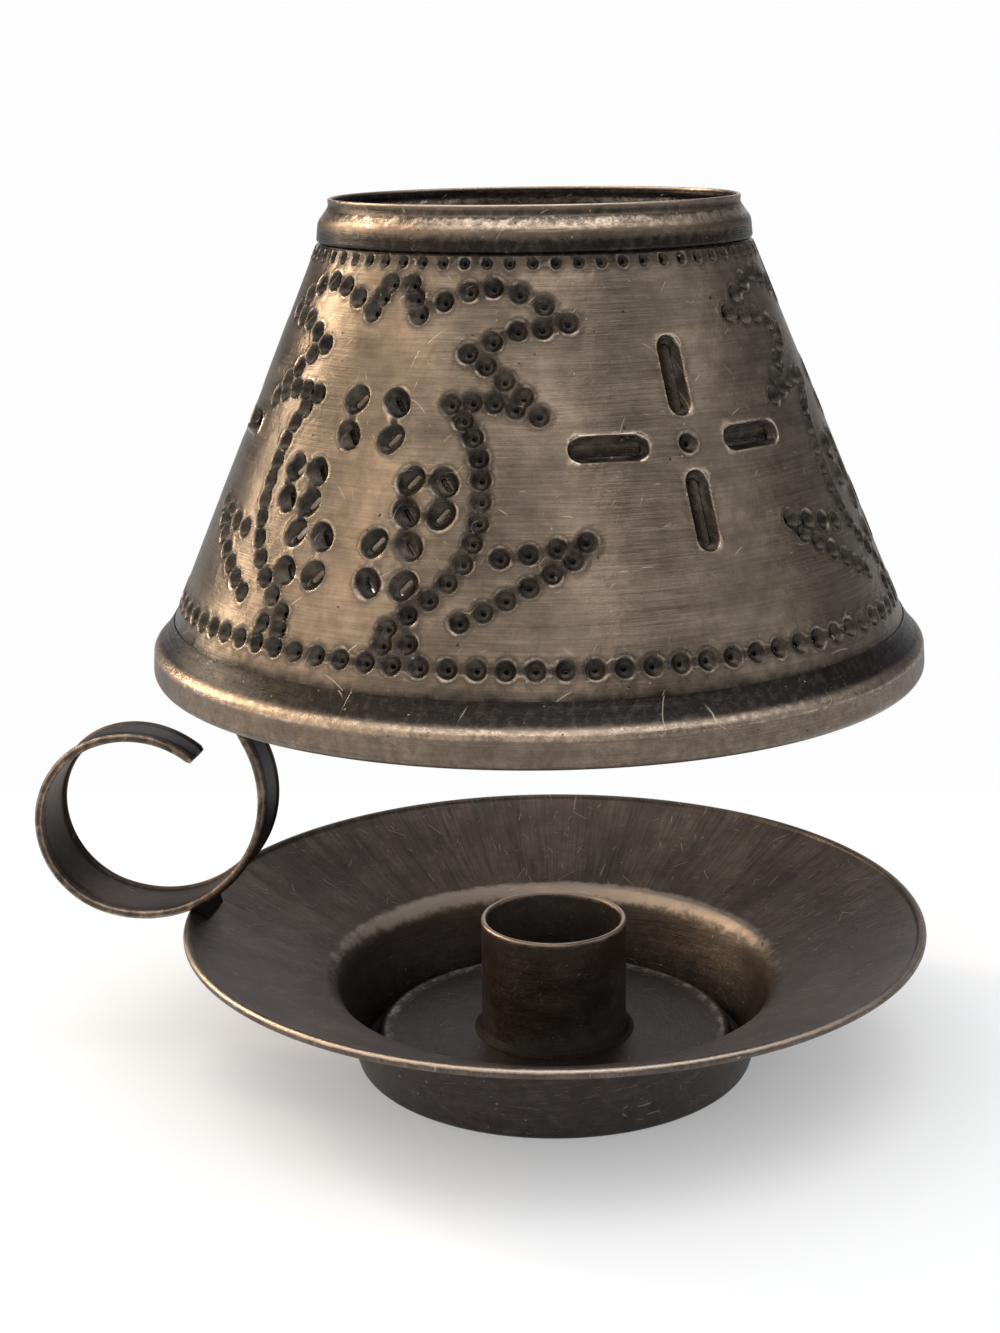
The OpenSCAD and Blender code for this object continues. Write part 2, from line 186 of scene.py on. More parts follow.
@dataclass
class Skin:
    """Points, faces and surface values of one mesh, in millimetres.

    Wear is 1 where hands and cloths have rubbed the tin bright and where highlights are painted on,
    and patina is 1 where its dark finish is thickest and where shade is painted on.
    """

    points: np.ndarray
    faces: list[tuple[int, ...]]
    wear_and_sheen: np.ndarray
    patina_and_shade: np.ndarray

    def joined(self, other: "Skin") -> "Skin":
        """This skin and another as one."""
        shift = len(self.points)
        moved = [tuple(corner + shift for corner in face) for face in other.faces]
        return Skin(
            np.concatenate([self.points, other.points]),
            self.faces + moved,
            np.concatenate([self.wear_and_sheen, other.wear_and_sheen]),
            np.concatenate([self.patina_and_shade, other.patina_and_shade]),
        )

    def to_object(self, name: str, crease: float = 50.0) -> bpy.types.Object:
        """Makes the Blender object.

        Args:
            name: Name of the object.
            crease: Angle in degrees above which an edge stays sharp.

        Returns:
            The object, with its wear and patina as point attributes.
        """
        mesh = bpy.data.meshes.new(name)
        mesh.from_pydata((self.points * MM).tolist(), [], self.faces)
        for label, values in (("wear_and_sheen", self.wear_and_sheen), ("patina_and_shade", self.patina_and_shade)):
            layer = mesh.attributes.new(label, "FLOAT", "POINT")
            layer.data.foreach_set("value", values.astype(np.float32))
        mesh.polygons.foreach_set("use_smooth", np.ones(len(mesh.polygons), dtype=bool))
        mesh.set_sharp_from_angle(angle=math.radians(crease))
        mesh.validate()
        piece = bpy.data.objects.new(name, mesh)
        bpy.context.scene.collection.objects.link(piece)
        return piece


def bend_values(outline: np.ndarray, reach: float) -> np.ndarray:
    """How far each point of a closed outline stands out from its neighbours.

    Args:
        outline: Points of the outline, with the solid on its right.
        reach: Distance along the outline to the neighbours.

    Returns:
        Values above 0 on outer bends and below 0 in hollows, at most 0.5.
    """
    closed = np.concatenate([outline, outline[:1]])
    places = places_along(closed)
    total = places[-1]

    def at(place: np.ndarray) -> np.ndarray:
        """Points of the outline at the given places along it."""
        wrapped = np.mod(place, total)
        return np.column_stack([np.interp(wrapped, places, closed[:, axis]) for axis in (0, 1)])

    before = at(places[:-1] - reach)
    after = at(places[:-1] + reach)
    outward = left_sides(np.concatenate([outline[-1:], outline, outline[:1]]))[1:-1]
    middle = (before + after) / 2
    return -np.sum((middle - outline) * outward, axis=1) / reach


def turned(
        outline: np.ndarray, centre_x: float, segments: int,
        patina_and_shade: float | np.ndarray = 0.0) -> Skin:
    """Turns an outline round an upright axis.

    Args:
        outline: Points as (radius, height); points on the axis close the skin there.
        centre_x: Place of the axis along X.
        segments: Number of segments round.
        patina_and_shade: Patina and painted shade, everywhere or at each point of the outline.

    Returns:
        A closed skin without wear.
    """
    turns = np.arange(segments) * FULL_TURN / segments
    rows = len(outline)
    sizes = [1 if radius < ON_AXIS else segments for radius in outline[:, 0]]
    starts = np.concatenate([[0], np.cumsum(sizes)]).tolist()
    points = np.concatenate([
        np.column_stack([centre_x + radius * np.sin(turns[:size]),
                         -radius * np.cos(turns[:size]), np.full(size, up)])
        for (radius, up), size in zip(outline, sizes)])
    faces: list[tuple[int, ...]] = []
    for row in range(rows):
        following = (row + 1) % rows
        here, there = starts[row], starts[following]
        if sizes[row] == sizes[following] == 1:
            continue
        for k in range(segments):
            ahead = (k + 1) % segments
            if sizes[row] == 1:
                faces.append((here, there + k, there + ahead))
            elif sizes[following] == 1:
                faces.append((here + k, there, here + ahead))
            else:
                faces.append((here + k, there + k, there + ahead, here + ahead))
    darkening = np.repeat(np.broadcast_to(patina_and_shade, rows), sizes)
    return Skin(points, faces, np.zeros(len(points)), darkening)


@dataclass(frozen=True)
class HandWork:
    """The slight unevenness of a piece that was beaten and turned by hand.

    Attributes:
        depth: Greatest depth of its soft dents, in mm.
        waves: Number of waves round the piece, for each of its sums of waves.
        phase: Shift of the waves, so that no two pieces match.
    """

    depth: float
    waves: tuple[int, ...]
    phase: float

    CLIMB = 0.07

    def apply(self, skin: Skin, centre_x: float, fade_low: float, fade_high: float) -> None:
        """Presses the skin inwards in soft dents.

        Args:
            skin: Skin to press; its points are moved.
            centre_x: Place of its axis along X.
            fade_low: Height under which nothing moves.
            fade_high: Height over which nothing moves.
        """
        x = skin.points[:, 0] - centre_x
        y = skin.points[:, 1]
        z = skin.points[:, 2]
        turn = np.arctan2(x, -y)
        wave = np.zeros(len(z))
        for order, count in enumerate(self.waves):
            swing = self.phase * (order + 1)
            wave += np.sin(count * turn + swing + z * self.CLIMB * (order + 1)) / len(self.waves)
        middle = (fade_low + fade_high) / 2
        span = (fade_high - fade_low) / 2
        fade = 1 - np.clip(np.abs(z - middle) / span, 0, 1) ** 4
        radius = np.hypot(x, y) + 1e-9
        inward = self.depth * (0.5 + 0.5 * wave) * fade
        skin.points[:, 0] -= inward * x / radius
        skin.points[:, 1] -= inward * y / radius


# Node trees


class Grain(Enum):
    """Which way the brush marks of a finish run."""

    AROUND = "around"
    OUTWARD = "outward"
    ALONG = "along"


class NodeSheet:
    """Adds nodes to one tree and links them."""

    def __init__(self, tree: bpy.types.NodeTree) -> None:
        """Takes the tree to draw in."""
        self.tree = tree

    def add(self, kind: str, **settings: object) -> bpy.types.Node:
        """Adds a node and sets its properties."""
        node = self.tree.nodes.new(kind)
        for name, value in settings.items():
            setattr(node, name, value)
        return node

    def feed(self, socket: bpy.types.NodeSocket, value: object) -> None:
        """Links a socket, or sets a plain value, into an input."""
        if isinstance(value, bpy.types.NodeSocket):
            self.tree.links.new(value, socket)
        else:
            socket.default_value = value

    def math(
            self, operation: str, first: object, second: object = 0.0,
            clamp: bool = False) -> bpy.types.NodeSocket:
        """Result of a Math node."""
        node = self.add("ShaderNodeMath", operation=operation, use_clamp=clamp)
        self.feed(node.inputs[0], first)
        self.feed(node.inputs[1], second)
        return node.outputs[0]

    def eased(
            self, value: object, low: float, high: float, to_low: float = 0.0,
            to_high: float = 1.0) -> bpy.types.NodeSocket:
        """A smooth step from to_low to to_high as the value goes from low to high."""
        node = self.add("ShaderNodeMapRange", interpolation_type="SMOOTHSTEP")
        bounds = {"From Min": low, "From Max": high, "To Min": to_low, "To Max": to_high}
        for name, number in bounds.items():
            node.inputs[name].default_value = number
        self.feed(node.inputs["Value"], value)
        return node.outputs["Result"]

    def blend(
            self, share: object, first: object, second: object,
            way: str = "MIX") -> bpy.types.NodeSocket:
        """Mix of two colours."""
        node = self.add("ShaderNodeMix", data_type="RGBA", blend_type=way)
        self.feed(node.inputs[0], share)
        self.feed(node.inputs[6], first)
        self.feed(node.inputs[7], second)
        return node.outputs[2]

    def vector(self, x: object, y: object, z: object) -> bpy.types.NodeSocket:
        """A vector from three parts."""
        node = self.add("ShaderNodeCombineXYZ")
        for socket, value in zip(node.inputs, (x, y, z)):
            self.feed(socket, value)
        return node.outputs[0]

    def split(self, vector: object) -> tuple[bpy.types.NodeSocket, ...]:
        """The three parts of a vector."""
        node = self.add("ShaderNodeSeparateXYZ")
        self.feed(node.inputs[0], vector)
        return tuple(node.outputs)

    def vector_math(self, operation: str, first: object, second: object) -> bpy.types.NodeSocket:
        """Result of a Vector Math node."""
        node = self.add("ShaderNodeVectorMath", operation=operation)
        self.feed(node.inputs[0], first)
        self.feed(node.inputs[1], second)
        return node.outputs[0]

    def cells(self, place: object, scale: object, dimensions: str) -> bpy.types.Node:
        """A Voronoi node that gives the nearest cell."""
        node = self.add("ShaderNodeTexVoronoi", voronoi_dimensions=dimensions, feature="F1")
        self.feed(node.inputs["Vector"], place)
        self.feed(node.inputs["Scale"], scale)
        return node

    def channels(self, colour: object) -> tuple[bpy.types.NodeSocket, ...]:
        """The three channels of a colour."""
        node = self.add("ShaderNodeSeparateColor")
        self.feed(node.inputs[0], colour)
        return tuple(node.outputs)

    def object_place(self) -> bpy.types.NodeSocket:
        """Place on the object, in metres."""
        return self.add("ShaderNodeTexCoord").outputs["Object"]

    def group(self, tree: bpy.types.NodeTree, **inputs: object) -> bpy.types.Node:
        """Adds a node group and feeds its inputs; an underscore stands for a space."""
        node = self.add("ShaderNodeGroup", node_tree=tree)
        for name, value in inputs.items():
            self.feed(node.inputs[name.replace("_", " ")], value)
        return node

    def noise(
            self, place: object, scale: object, detail: float,
            roughness: float = 0.5) -> bpy.types.NodeSocket:
        """Factor of a Noise node."""
        node = self.add("ShaderNodeTexNoise")
        self.feed(node.inputs["Vector"], place)
        self.feed(node.inputs["Scale"], scale)
        node.inputs["Detail"].default_value = detail
        node.inputs["Roughness"].default_value = roughness
        return node.outputs["Fac"]

    def point_value(self, name: str) -> bpy.types.NodeSocket:
        """A value that the mesh carries at its points."""
        node = self.add("ShaderNodeAttribute", attribute_type="GEOMETRY", attribute_name=name)
        return node.outputs["Fac"]


def new_group(
        name: str, inputs: dict[str, float], outputs: tuple[str, ...]
        ) -> tuple[NodeSheet, dict[str, bpy.types.NodeSocket], bpy.types.Node]:
    """Starts a shader node group whose inputs and outputs are all numbers.

    Args:
        name: Name of the group.
        inputs: Each input's default value.
        outputs: The outputs' names.

    Returns:
        The sheet to draw in, the group's inputs by name and its output node.
    """
    tree = bpy.data.node_groups.new(name, "ShaderNodeTree")
    for label, value in inputs.items():
        socket = tree.interface.new_socket(
            name=label, in_out="INPUT", socket_type="NodeSocketFloat")
        socket.default_value = value
    for label in outputs:
        tree.interface.new_socket(name=label, in_out="OUTPUT", socket_type="NodeSocketFloat")
    sheet = NodeSheet(tree)
    given = sheet.add("NodeGroupInput")
    return sheet, {label: given.outputs[label] for label in inputs}, sheet.add("NodeGroupOutput")


@dataclass(frozen=True)
class SurfaceEffects:
    """The node groups that the finishes share."""

    around: bpy.types.NodeTree
    grain: bpy.types.NodeTree
    clouds: bpy.types.NodeTree
    hairlines: bpy.types.NodeTree
    nicks: bpy.types.NodeTree

    @classmethod
    def build(cls) -> "SurfaceEffects":
        """Builds the groups."""
        return cls(cls._around(), cls._grain(), cls._clouds(), cls._hairlines(), cls._nicks())

    @staticmethod
    def _around() -> bpy.types.NodeTree:
        """Place on a turned piece: way round in radians, radius and height in mm."""
        sheet, given, result = new_group(
            "turned_place", {"Axis X": 0.0}, ("Turn", "Radius", "Height"))
        along_x, along_y, up = sheet.split(sheet.object_place())
        x = sheet.math("SUBTRACT", sheet.math("MULTIPLY", along_x, 1 / MM), given["Axis X"])
        y = sheet.math("MULTIPLY", along_y, 1 / MM)
        front = sheet.math("MULTIPLY", y, -1.0)
        sheet.feed(result.inputs["Turn"], sheet.math("ARCTAN2", x, front))
        squares = sheet.math("ADD", sheet.math("MULTIPLY", x, x), sheet.math("MULTIPLY", y, y))
        sheet.feed(result.inputs["Radius"], sheet.math("SQRT", squares))
        sheet.feed(result.inputs["Height"], sheet.math("MULTIPLY", up, 1 / MM))
        return sheet.tree

    @staticmethod
    def _grain() -> bpy.types.NodeTree:
        """Brush marks that run along one way: fine lines broken up into strokes."""
        sheet, given, result = new_group(
            "brush_marks", {"Along": 0.0, "Across": 0.0, "Stroke": 14.0, "Pitch": 0.22},
            ("Lines", "Bands"))
        along = sheet.math("DIVIDE", given["Along"], given["Stroke"])
        across = sheet.math("DIVIDE", given["Across"], given["Pitch"])
        fine = sheet.noise(sheet.vector(along, across, 0.0), 1.0, 3.0, 0.7)
        wide_across = sheet.math("MULTIPLY", across, 0.16)
        wide_along = sheet.math("MULTIPLY", along, 0.5)
        wide = sheet.noise(sheet.vector(wide_along, wide_across, 7.3), 1.0, 4.0, 0.65)
        sheet.feed(result.inputs["Lines"], sheet.eased(fine, 0.3, 0.7))
        sheet.feed(result.inputs["Bands"], sheet.eased(wide, 0.33, 0.67))
        return sheet.tree

    @staticmethod
    def _clouds() -> bpy.types.NodeTree:
        """Soft patches of patina, with ragged edges."""
        sheet, given, result = new_group(
            "patina_clouds", {"Size": 12.0, "Seed": 0.0}, ("Cloud", "Ragged"))
        shift = sheet.vector(given["Seed"], given["Seed"], 0.0)
        place = sheet.vector_math("ADD", sheet.object_place(), shift)
        scale = sheet.math("DIVIDE", 1 / MM, given["Size"])
        broad = sheet.noise(place, scale, 3.0, 0.55)
        ragged = sheet.noise(place, sheet.math("MULTIPLY", scale, 5.0), 6.0, 0.72)
        sheet.feed(result.inputs["Cloud"], sheet.eased(broad, 0.36, 0.66))
        sheet.feed(result.inputs["Ragged"], sheet.eased(ragged, 0.34, 0.68))
        return sheet.tree

    # Scratches: spacing of their cells in mm, greatest lean in radians, half width in mm
    HAIRLINES = ((3.4, 0.5, 0.065), (2.1, 3.1, 0.05), (5.2, 0.9, 0.07))
    LONGEST = 0.42
    BOW = 0.035

    @classmethod
    def _hairlines(cls) -> bpy.types.NodeTree:
        """Short fine scratches, one in each cell that is picked, each lying its own way."""
        sheet, given, result = new_group(
            "hairline_scratches", {"Along": 0.0, "Across": 0.0, "Share": 0.5}, ("Mask",))
        total: object = 0.0
        for order, (spacing, spread, width) in enumerate(cls.HAIRLINES):
            place = sheet.vector_math(
                "ADD", sheet.vector(given["Along"], given["Across"], 0.0),
                (31.7 * order, 17.3 * order, 0.0))
            cells = sheet.cells(place, 1 / spacing, "2D")
            local_x, local_y, _ = sheet.split(
                sheet.vector_math("SUBTRACT", place, cells.outputs["Position"]))
            pick = sheet.channels(cells.outputs["Color"])
            lean = sheet.math("MULTIPLY", sheet.math("SUBTRACT", pick[0], 0.5), 2 * spread)
            sine, cosine = sheet.math("SINE", lean), sheet.math("COSINE", lean)
            ahead = sheet.math("ADD", sheet.math("MULTIPLY", local_x, cosine),
                               sheet.math("MULTIPLY", local_y, sine))
            aside = sheet.math("SUBTRACT", sheet.math("MULTIPLY", local_y, cosine),
                               sheet.math("MULTIPLY", local_x, sine))
            bow = sheet.math("MULTIPLY", sheet.math("MULTIPLY", ahead, ahead), cls.BOW)
            apart = sheet.math("ABSOLUTE", sheet.math("ADD", aside, bow))
            length = sheet.math("MULTIPLY", pick[1], cls.LONGEST * spacing)
            taper = sheet.math("SUBTRACT", length, sheet.math("ABSOLUTE", ahead))
            line = sheet.math(
                "MULTIPLY", sheet.eased(apart, width, width * 0.4), sheet.eased(taper, 0.0, 0.8))
            chosen = sheet.math("LESS_THAN", pick[2], given["Share"])
            total = sheet.math("MAXIMUM", total, sheet.math("MULTIPLY", line, chosen))
        sheet.feed(result.inputs["Mask"], total)
        return sheet.tree

    @staticmethod
    def _nicks() -> bpy.types.NodeTree:
        """Small specks: bright nicks and dark pits, each in its own cells."""
        sheet, given, result = new_group(
            "nicks_and_pits", {"Spacing": 2.2, "Share": 0.2}, ("Nicks", "Pits"))
        place = sheet.object_place()
        scale = sheet.math("DIVIDE", 1 / MM, given["Spacing"])
        wander = sheet.add("ShaderNodeTexNoise")
        sheet.feed(wander.inputs["Vector"], place)
        wander.inputs["Scale"].default_value = 900.0
        small = sheet.add("ShaderNodeVectorMath", operation="SCALE")
        sheet.feed(small.inputs[0], wander.outputs["Color"])
        small.inputs["Scale"].default_value = 0.0009
        bent = sheet.vector_math("ADD", place, small.outputs[0])
        for label, factor, size in (("Nicks", 1.0, 0.12), ("Pits", 0.8, 0.13)):
            cells = sheet.cells(bent, sheet.math("MULTIPLY", scale, factor), "3D")
            pick = sheet.channels(cells.outputs["Color"])
            chosen = sheet.math("LESS_THAN", pick[0], given["Share"])
            reach = sheet.math("MULTIPLY", pick[1], size)
            spot = sheet.math("SUBTRACT", reach, cells.outputs["Distance"])
            sheet.feed(result.inputs[label],
                       sheet.math("MULTIPLY", chosen, sheet.eased(spot, -0.02, 0.03)))
        return sheet.tree


@dataclass(frozen=True)
class TinFinish:
    """One finish of brushed and darkened tin.

    Attributes:
        name: Name of its material.
        bright: Colour where it is rubbed bright, also used for painted highlights.
        body: Colour of most of it.
        dark: Colour of its patina, also used for painted shade.
        rubbed: Colour where the patina is rubbed thin.
        grain: Which way its brush marks run.
        axis_x: Place along X of the axis that the marks run round, in mm.
        inner_radius: Radius inside which outward marks turn into marks around, in mm.
        roughness: Roughness of the body.
        clouds: How much of it the patina clouds cover, from 0 to 1.
        lines: Strength of the brush marks in the colour, from 0 to 1.
        rubs: How much of it is rubbed thin, from 0 to 1.
        scratches: Share of the cells that hold a scratch.
        nicks: Share of the cells that hold a nick or a pit.
        stroke: Length of a brush mark, in mm.
        pitch: Width of a brush mark, in mm.
        brushed: How far highlights stretch across the brush marks, from 0 to 1.
        seed: Shift of the clouds, in metres.
        cloud_size: Size of the patina clouds, in mm.
        nick_spacing: Size of the cells of the nicks and pits, in mm.
        oxide: How far the patina loses its metal sheen, from 0 to 1.
        marks: Strength of scratches and nicks in the colour, from 0 to 1.
        raggedness: How far the clouds break up the edges of the wear, from 0 to 1.
    """

    name: str
    bright: Colour
    body: Colour
    dark: Colour
    rubbed: Colour
    grain: Grain
    axis_x: float = 0.0
    inner_radius: float = 0.0
    roughness: float = 0.38
    clouds: float = 0.5
    lines: float = 0.5
    rubs: float = 0.4
    scratches: float = 0.25
    nicks: float = 0.15
    stroke: float = 14.0
    pitch: float = 0.22
    brushed: float = 0.0
    seed: float = 0.0
    cloud_size: float = 12.0
    nick_spacing: float = 2.2
    oxide: float = 0.35
    marks: float = 0.6
    raggedness: float = 0.35

    # Radii that turn an angle into a length along the marks, and where outward marks begin, in mm
    SHADE_RADIUS = 50.0
    STRAP_RADIUS = 60.0
    TURN_OVER = 2.5
    # Sums of wear, painted highlight and cloud at which the bright metal starts and ends to show
    WORN = (0.36, 0.95)
    EDGE_BREAK = 0.22
    RUB_SEED = 1.7
    RUB_SIZE = 5.0
    MOTTLE = 0.3
    PIT_SHADE = 0.7
    # Change of roughness where the metal is rubbed or aged, and height of the relief in metres
    POLISH = -0.09
    RELIEF = 0.00008

    def _ways(self, sheet: NodeSheet, effects: SurfaceEffects) -> tuple[object, object]:
        """Way along and across the brush marks, in mm."""
        place = sheet.group(effects.around, Axis_X=self.axis_x)
        turn, radius, height = (place.outputs[name] for name in ("Turn", "Radius", "Height"))
        rise = sheet.math("ADD", radius, height)
        if self.grain is Grain.OUTWARD:
            outward = sheet.eased(
                radius, self.inner_radius - self.TURN_OVER, self.inner_radius + self.TURN_OVER)
            inward = sheet.math("SUBTRACT", 1.0, outward)
            round_way = sheet.math("MULTIPLY", turn, self.inner_radius)
            along = sheet.math("ADD", sheet.math("MULTIPLY", radius, outward),
                               sheet.math("MULTIPLY", round_way, inward))
            across = sheet.math("ADD", sheet.math("MULTIPLY", round_way, outward),
                                sheet.math("MULTIPLY", rise, inward))
            return along, across
        if self.grain is Grain.ALONG:
            return rise, sheet.math("MULTIPLY", turn, self.STRAP_RADIUS)
        return sheet.math("MULTIPLY", turn, self.SHADE_RADIUS), sheet.math("ADD", height, radius)

    def _bright_and_dark_shares(self, sheet: NodeSheet, clouds: bpy.types.Node) -> tuple[object, ...]:
        """Wear with painted highlights, the patina with painted shade that the mesh asks for, and
        that with clouds added.
        """
        ragged = clouds.outputs["Ragged"]
        brightening = sheet.point_value("wear_and_sheen")
        darkening = sheet.point_value("patina_and_shade")
        wear_and_sheen = sheet.eased(
            sheet.math("ADD", brightening, sheet.math("MULTIPLY", ragged, self.raggedness)), *self.WORN)
        broken = sheet.math("MULTIPLY", sheet.math("SUBTRACT", ragged, 0.5), self.EDGE_BREAK)
        edge = sheet.math("MULTIPLY", sheet.eased(darkening, 0.0, 0.25), broken)
        halo = sheet.math("ADD", darkening, edge, clamp=True)
        cloud = sheet.math("MULTIPLY", clouds.outputs["Cloud"], self.clouds)
        return wear_and_sheen, halo, sheet.math("MAXIMUM", halo, cloud)

    def build(self, effects: SurfaceEffects) -> bpy.types.Material:
        """Builds the material.

        Args:
            effects: The shared node groups.

        Returns:
            The material.
        """
        material = bpy.data.materials.new(self.name)
        material.use_nodes = True
        sheet = NodeSheet(material.node_tree)
        shader = material.node_tree.nodes["Principled BSDF"]
        along, across = self._ways(sheet, effects)
        grain = sheet.group(
            effects.grain, Along=along, Across=across, Stroke=self.stroke, Pitch=self.pitch)
        clouds = sheet.group(effects.clouds, Seed=self.seed, Size=self.cloud_size)
        rubs = sheet.group(effects.clouds, Seed=self.seed + self.RUB_SEED, Size=self.RUB_SIZE)
        hairs = sheet.group(effects.hairlines, Along=along, Across=across, Share=self.scratches)
        nicks = sheet.group(effects.nicks, Share=self.nicks, Spacing=self.nick_spacing)
        ragged = clouds.outputs["Ragged"]
        wear_and_sheen, halo, patina_and_shade = self._bright_and_dark_shares(sheet, clouds)

        stroke = sheet.math("ADD", sheet.math("MULTIPLY", grain.outputs["Lines"], 0.55),
                            sheet.math("MULTIPLY", grain.outputs["Bands"], 0.45))
        thin = sheet.math("MULTIPLY", rubs.outputs["Ragged"], rubs.outputs["Cloud"])
        marks = sheet.math("MAXIMUM", hairs.outputs["Mask"], nicks.outputs["Nicks"])
        pits = nicks.outputs["Pits"]
        # The mesh's patina carries painted shade and its wear carries painted highlights; the dark
        # and bright layers paint them.
        colour: object = (*self.body, 1)
        for share, layer in (
                (sheet.math("MULTIPLY", stroke, self.lines), self.bright),
                (sheet.math("MULTIPLY", ragged, self.MOTTLE), self.dark),
                (sheet.math("MULTIPLY", thin, self.rubs), self.rubbed),
                (patina_and_shade, self.dark),
                (wear_and_sheen, self.bright),
                (sheet.math("MULTIPLY", marks, self.marks), self.bright),
                (sheet.math("MULTIPLY", pits, self.PIT_SHADE), self.dark)):
            colour = sheet.blend(share, colour, (*layer, 1))
        sheet.feed(shader.inputs["Base Color"], colour)

        shift = sheet.math("MULTIPLY", sheet.math("ADD", halo, wear_and_sheen), self.POLISH)
        rough = sheet.math("ADD", sheet.math("MULTIPLY", stroke, 0.1), shift)
        sheet.feed(shader.inputs["Roughness"], sheet.math("ADD", rough, self.roughness, clamp=True))
        dull = sheet.math("SUBTRACT", patina_and_shade, wear_and_sheen, clamp=True)
        dull = sheet.math("MULTIPLY", dull, self.oxide)
        sheet.feed(shader.inputs["Metallic"], sheet.math("SUBTRACT", 1.0, dull))
        shader.inputs["Anisotropic"].default_value = self.brushed
        shader.inputs["Anisotropic Rotation"].default_value = 0.25

        relief = sheet.math("MULTIPLY", grain.outputs["Lines"], 0.5)
        relief = sheet.math("ADD", relief, sheet.math("MULTIPLY", ragged, 0.8))
        relief = sheet.math("SUBTRACT", relief, sheet.math("MULTIPLY", marks, 0.8))
        relief = sheet.math("SUBTRACT", relief, pits)
        bump = sheet.add("ShaderNodeBump")
        bump.inputs["Strength"].default_value = 0.5
        bump.inputs["Distance"].default_value = self.RELIEF
        sheet.feed(bump.inputs["Height"], relief)
        sheet.feed(shader.inputs["Normal"], bump.outputs["Normal"])
        return material


def dress(piece: bpy.types.Object, material: bpy.types.Material) -> None:
    """Gives a piece one material in every slot."""
    piece.data.materials.clear()
    piece.data.materials.append(material)


class Piece:
    """A piece of the visual model: its name, what carries it and which solids it stands for."""

    NAME = ""
    BODY = ""
    SLOT = ""
    NODES: tuple[str, ...] = ()
    CREASE = 50.0

    def skin(self) -> Skin:
        """The piece's closed skin."""
        raise NotImplementedError

    def build(self, material: bpy.types.Material) -> bpy.types.Object:
        """Builds the piece, hangs it on its body and lets it stand for its solids.

        Args:
            material: Finish of the piece.

        Returns:
            The piece.
        """
        piece = self.skin().to_object(self.NAME, self.CREASE)
        dress(piece, material)
        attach(piece, self.BODY)
        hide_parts(*self.NODES)
        LOG.info("%s rides on %s and replaces %s", piece.name, self.BODY, ", ".join(self.NODES))
        return piece


def half_width(node: str) -> float:
    """Half of a solid's size along X, in mm."""
    low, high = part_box(node)
    return (high.x - low.x) / 2 / MM


# Pan, socket and handle


@dataclass
class DripPan(Piece):
    """The spun drip pan: floor, foot channel, well, shoulder, flare and hem."""

    NAME = "spun_drip_pan"
    BODY = "base"
    SLOT = "pan_tin"
    NODES = ("drip_pan",)

    rim_r: float
    rim_z: float
    shoulder_r: float = 37.5
    shoulder_z: float = 14.8
    foot_r: float = 32.8
    floor_z: float = 4.0
    sheet: float = 0.8
    hem_r: float = 0.75
    channel_w: float = 2.6
    ridge_h: float = 0.6
    ridge_w: float = 1.8
    ridge_slope: float = 1.1
    channel_lean: float = 0.6
    flare_dish: float = 0.5
    segments: int = 288
    hand_work: HandWork = HandWork(0.12, (3, 5, 8), 1.3)

    @classmethod
    def from_frame(cls) -> "DripPan":
        """Takes the rim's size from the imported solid."""
        return cls(rim_r=half_width("drip_pan"), rim_z=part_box("drip_pan")[1].z / MM)

    def path(self) -> np.ndarray:
        """Middle of the sheet from the axis to the hem."""
        ridge_out = self.foot_r - self.channel_w - self.ridge_slope
        hem = (self.rim_r - self.hem_r, self.rim_z - self.hem_r)
        flare = ((self.shoulder_r + self.rim_r) / 2,
                 (self.shoulder_z + hem[1]) / 2 - self.flare_dish)
        return resampled(rounded_path([
            (0, self.floor_z, 0),
            (ridge_out - self.ridge_w, self.floor_z, 2),
            (ridge_out, self.floor_z + self.ridge_h, 0.8),
            (self.foot_r - self.channel_w + self.channel_lean, self.sheet / 2, 0.8),
            (self.foot_r, self.sheet / 2, 0.8),
            (self.shoulder_r - 0.8, self.shoulder_z - 0.8, 5),
            (*flare, 40),
            (*hem, 0)]), 0.9)

    def skin(self) -> Skin:
        """The pan's skin: worn hem and floor ridge with painted highlights, a painted shoulder
        highlight strongest at the back, and painted shade below and in the well.
        """
        path = self.path()
        outline = sheet_outline(path, self.sheet, self.hem_r)
        outline[[0, -1], 0] = 0.0
        hollows = smooth_step(0.02, 0.22, -bend_values(outline, 2 * self.sheet))
        skin = turned(outline, 0.0, self.segments, hollows)
        radius = np.hypot(skin.points[:, 0], skin.points[:, 1])
        height = skin.points[:, 2]
        hem = np.column_stack([radius - self.rim_r + self.hem_r, height - self.rim_z + self.hem_r])
        # The hem's upper outer side is worn bright, which also paints its highlight there.
        facing = hem @ np.array([0.6, 0.8]) / self.hem_r
        hem_wear_and_sheen = smooth_step(0.78, 0.98, facing) * (radius > self.rim_r - 2 * self.hem_r)
        # Painted highlight on the shoulder, made strongest at the back below.
        shoulder = (smooth_step(2.6, 0.2, np.abs(radius - self.shoulder_r - 0.2))
                    * (height > self.shoulder_z - 2.5))
        # The floor ridge's light ring is rubbed crest and painted highlight.
        ridge_r = self.foot_r - self.channel_w - self.ridge_slope - self.ridge_w / 2
        ridge = smooth_step(1.6, 0.2, np.abs(radius - ridge_r)) * (height > self.floor_z)
        back = smooth_step(-10, 34, skin.points[:, 1])
        skin.wear_and_sheen = np.maximum.reduce([0.95 * hem_wear_and_sheen, (0.25 + 0.67 * back) * shoulder, 0.38 * ridge])
        # Painted shade in the well and on the underside.
        shaded_well = smooth_step(self.shoulder_r - 1.5, self.shoulder_r - 4.5, radius)
        shaded_underside = (height < np.interp(radius, *path.T)) & (radius < self.shoulder_r + 1)
        skin.patina_and_shade = np.maximum.reduce([skin.patina_and_shade, 0.9 * shaded_well, 0.75 * shaded_underside])
        self.hand_work.apply(skin, 0.0, self.shoulder_z, self.rim_z + 6)
        return skin


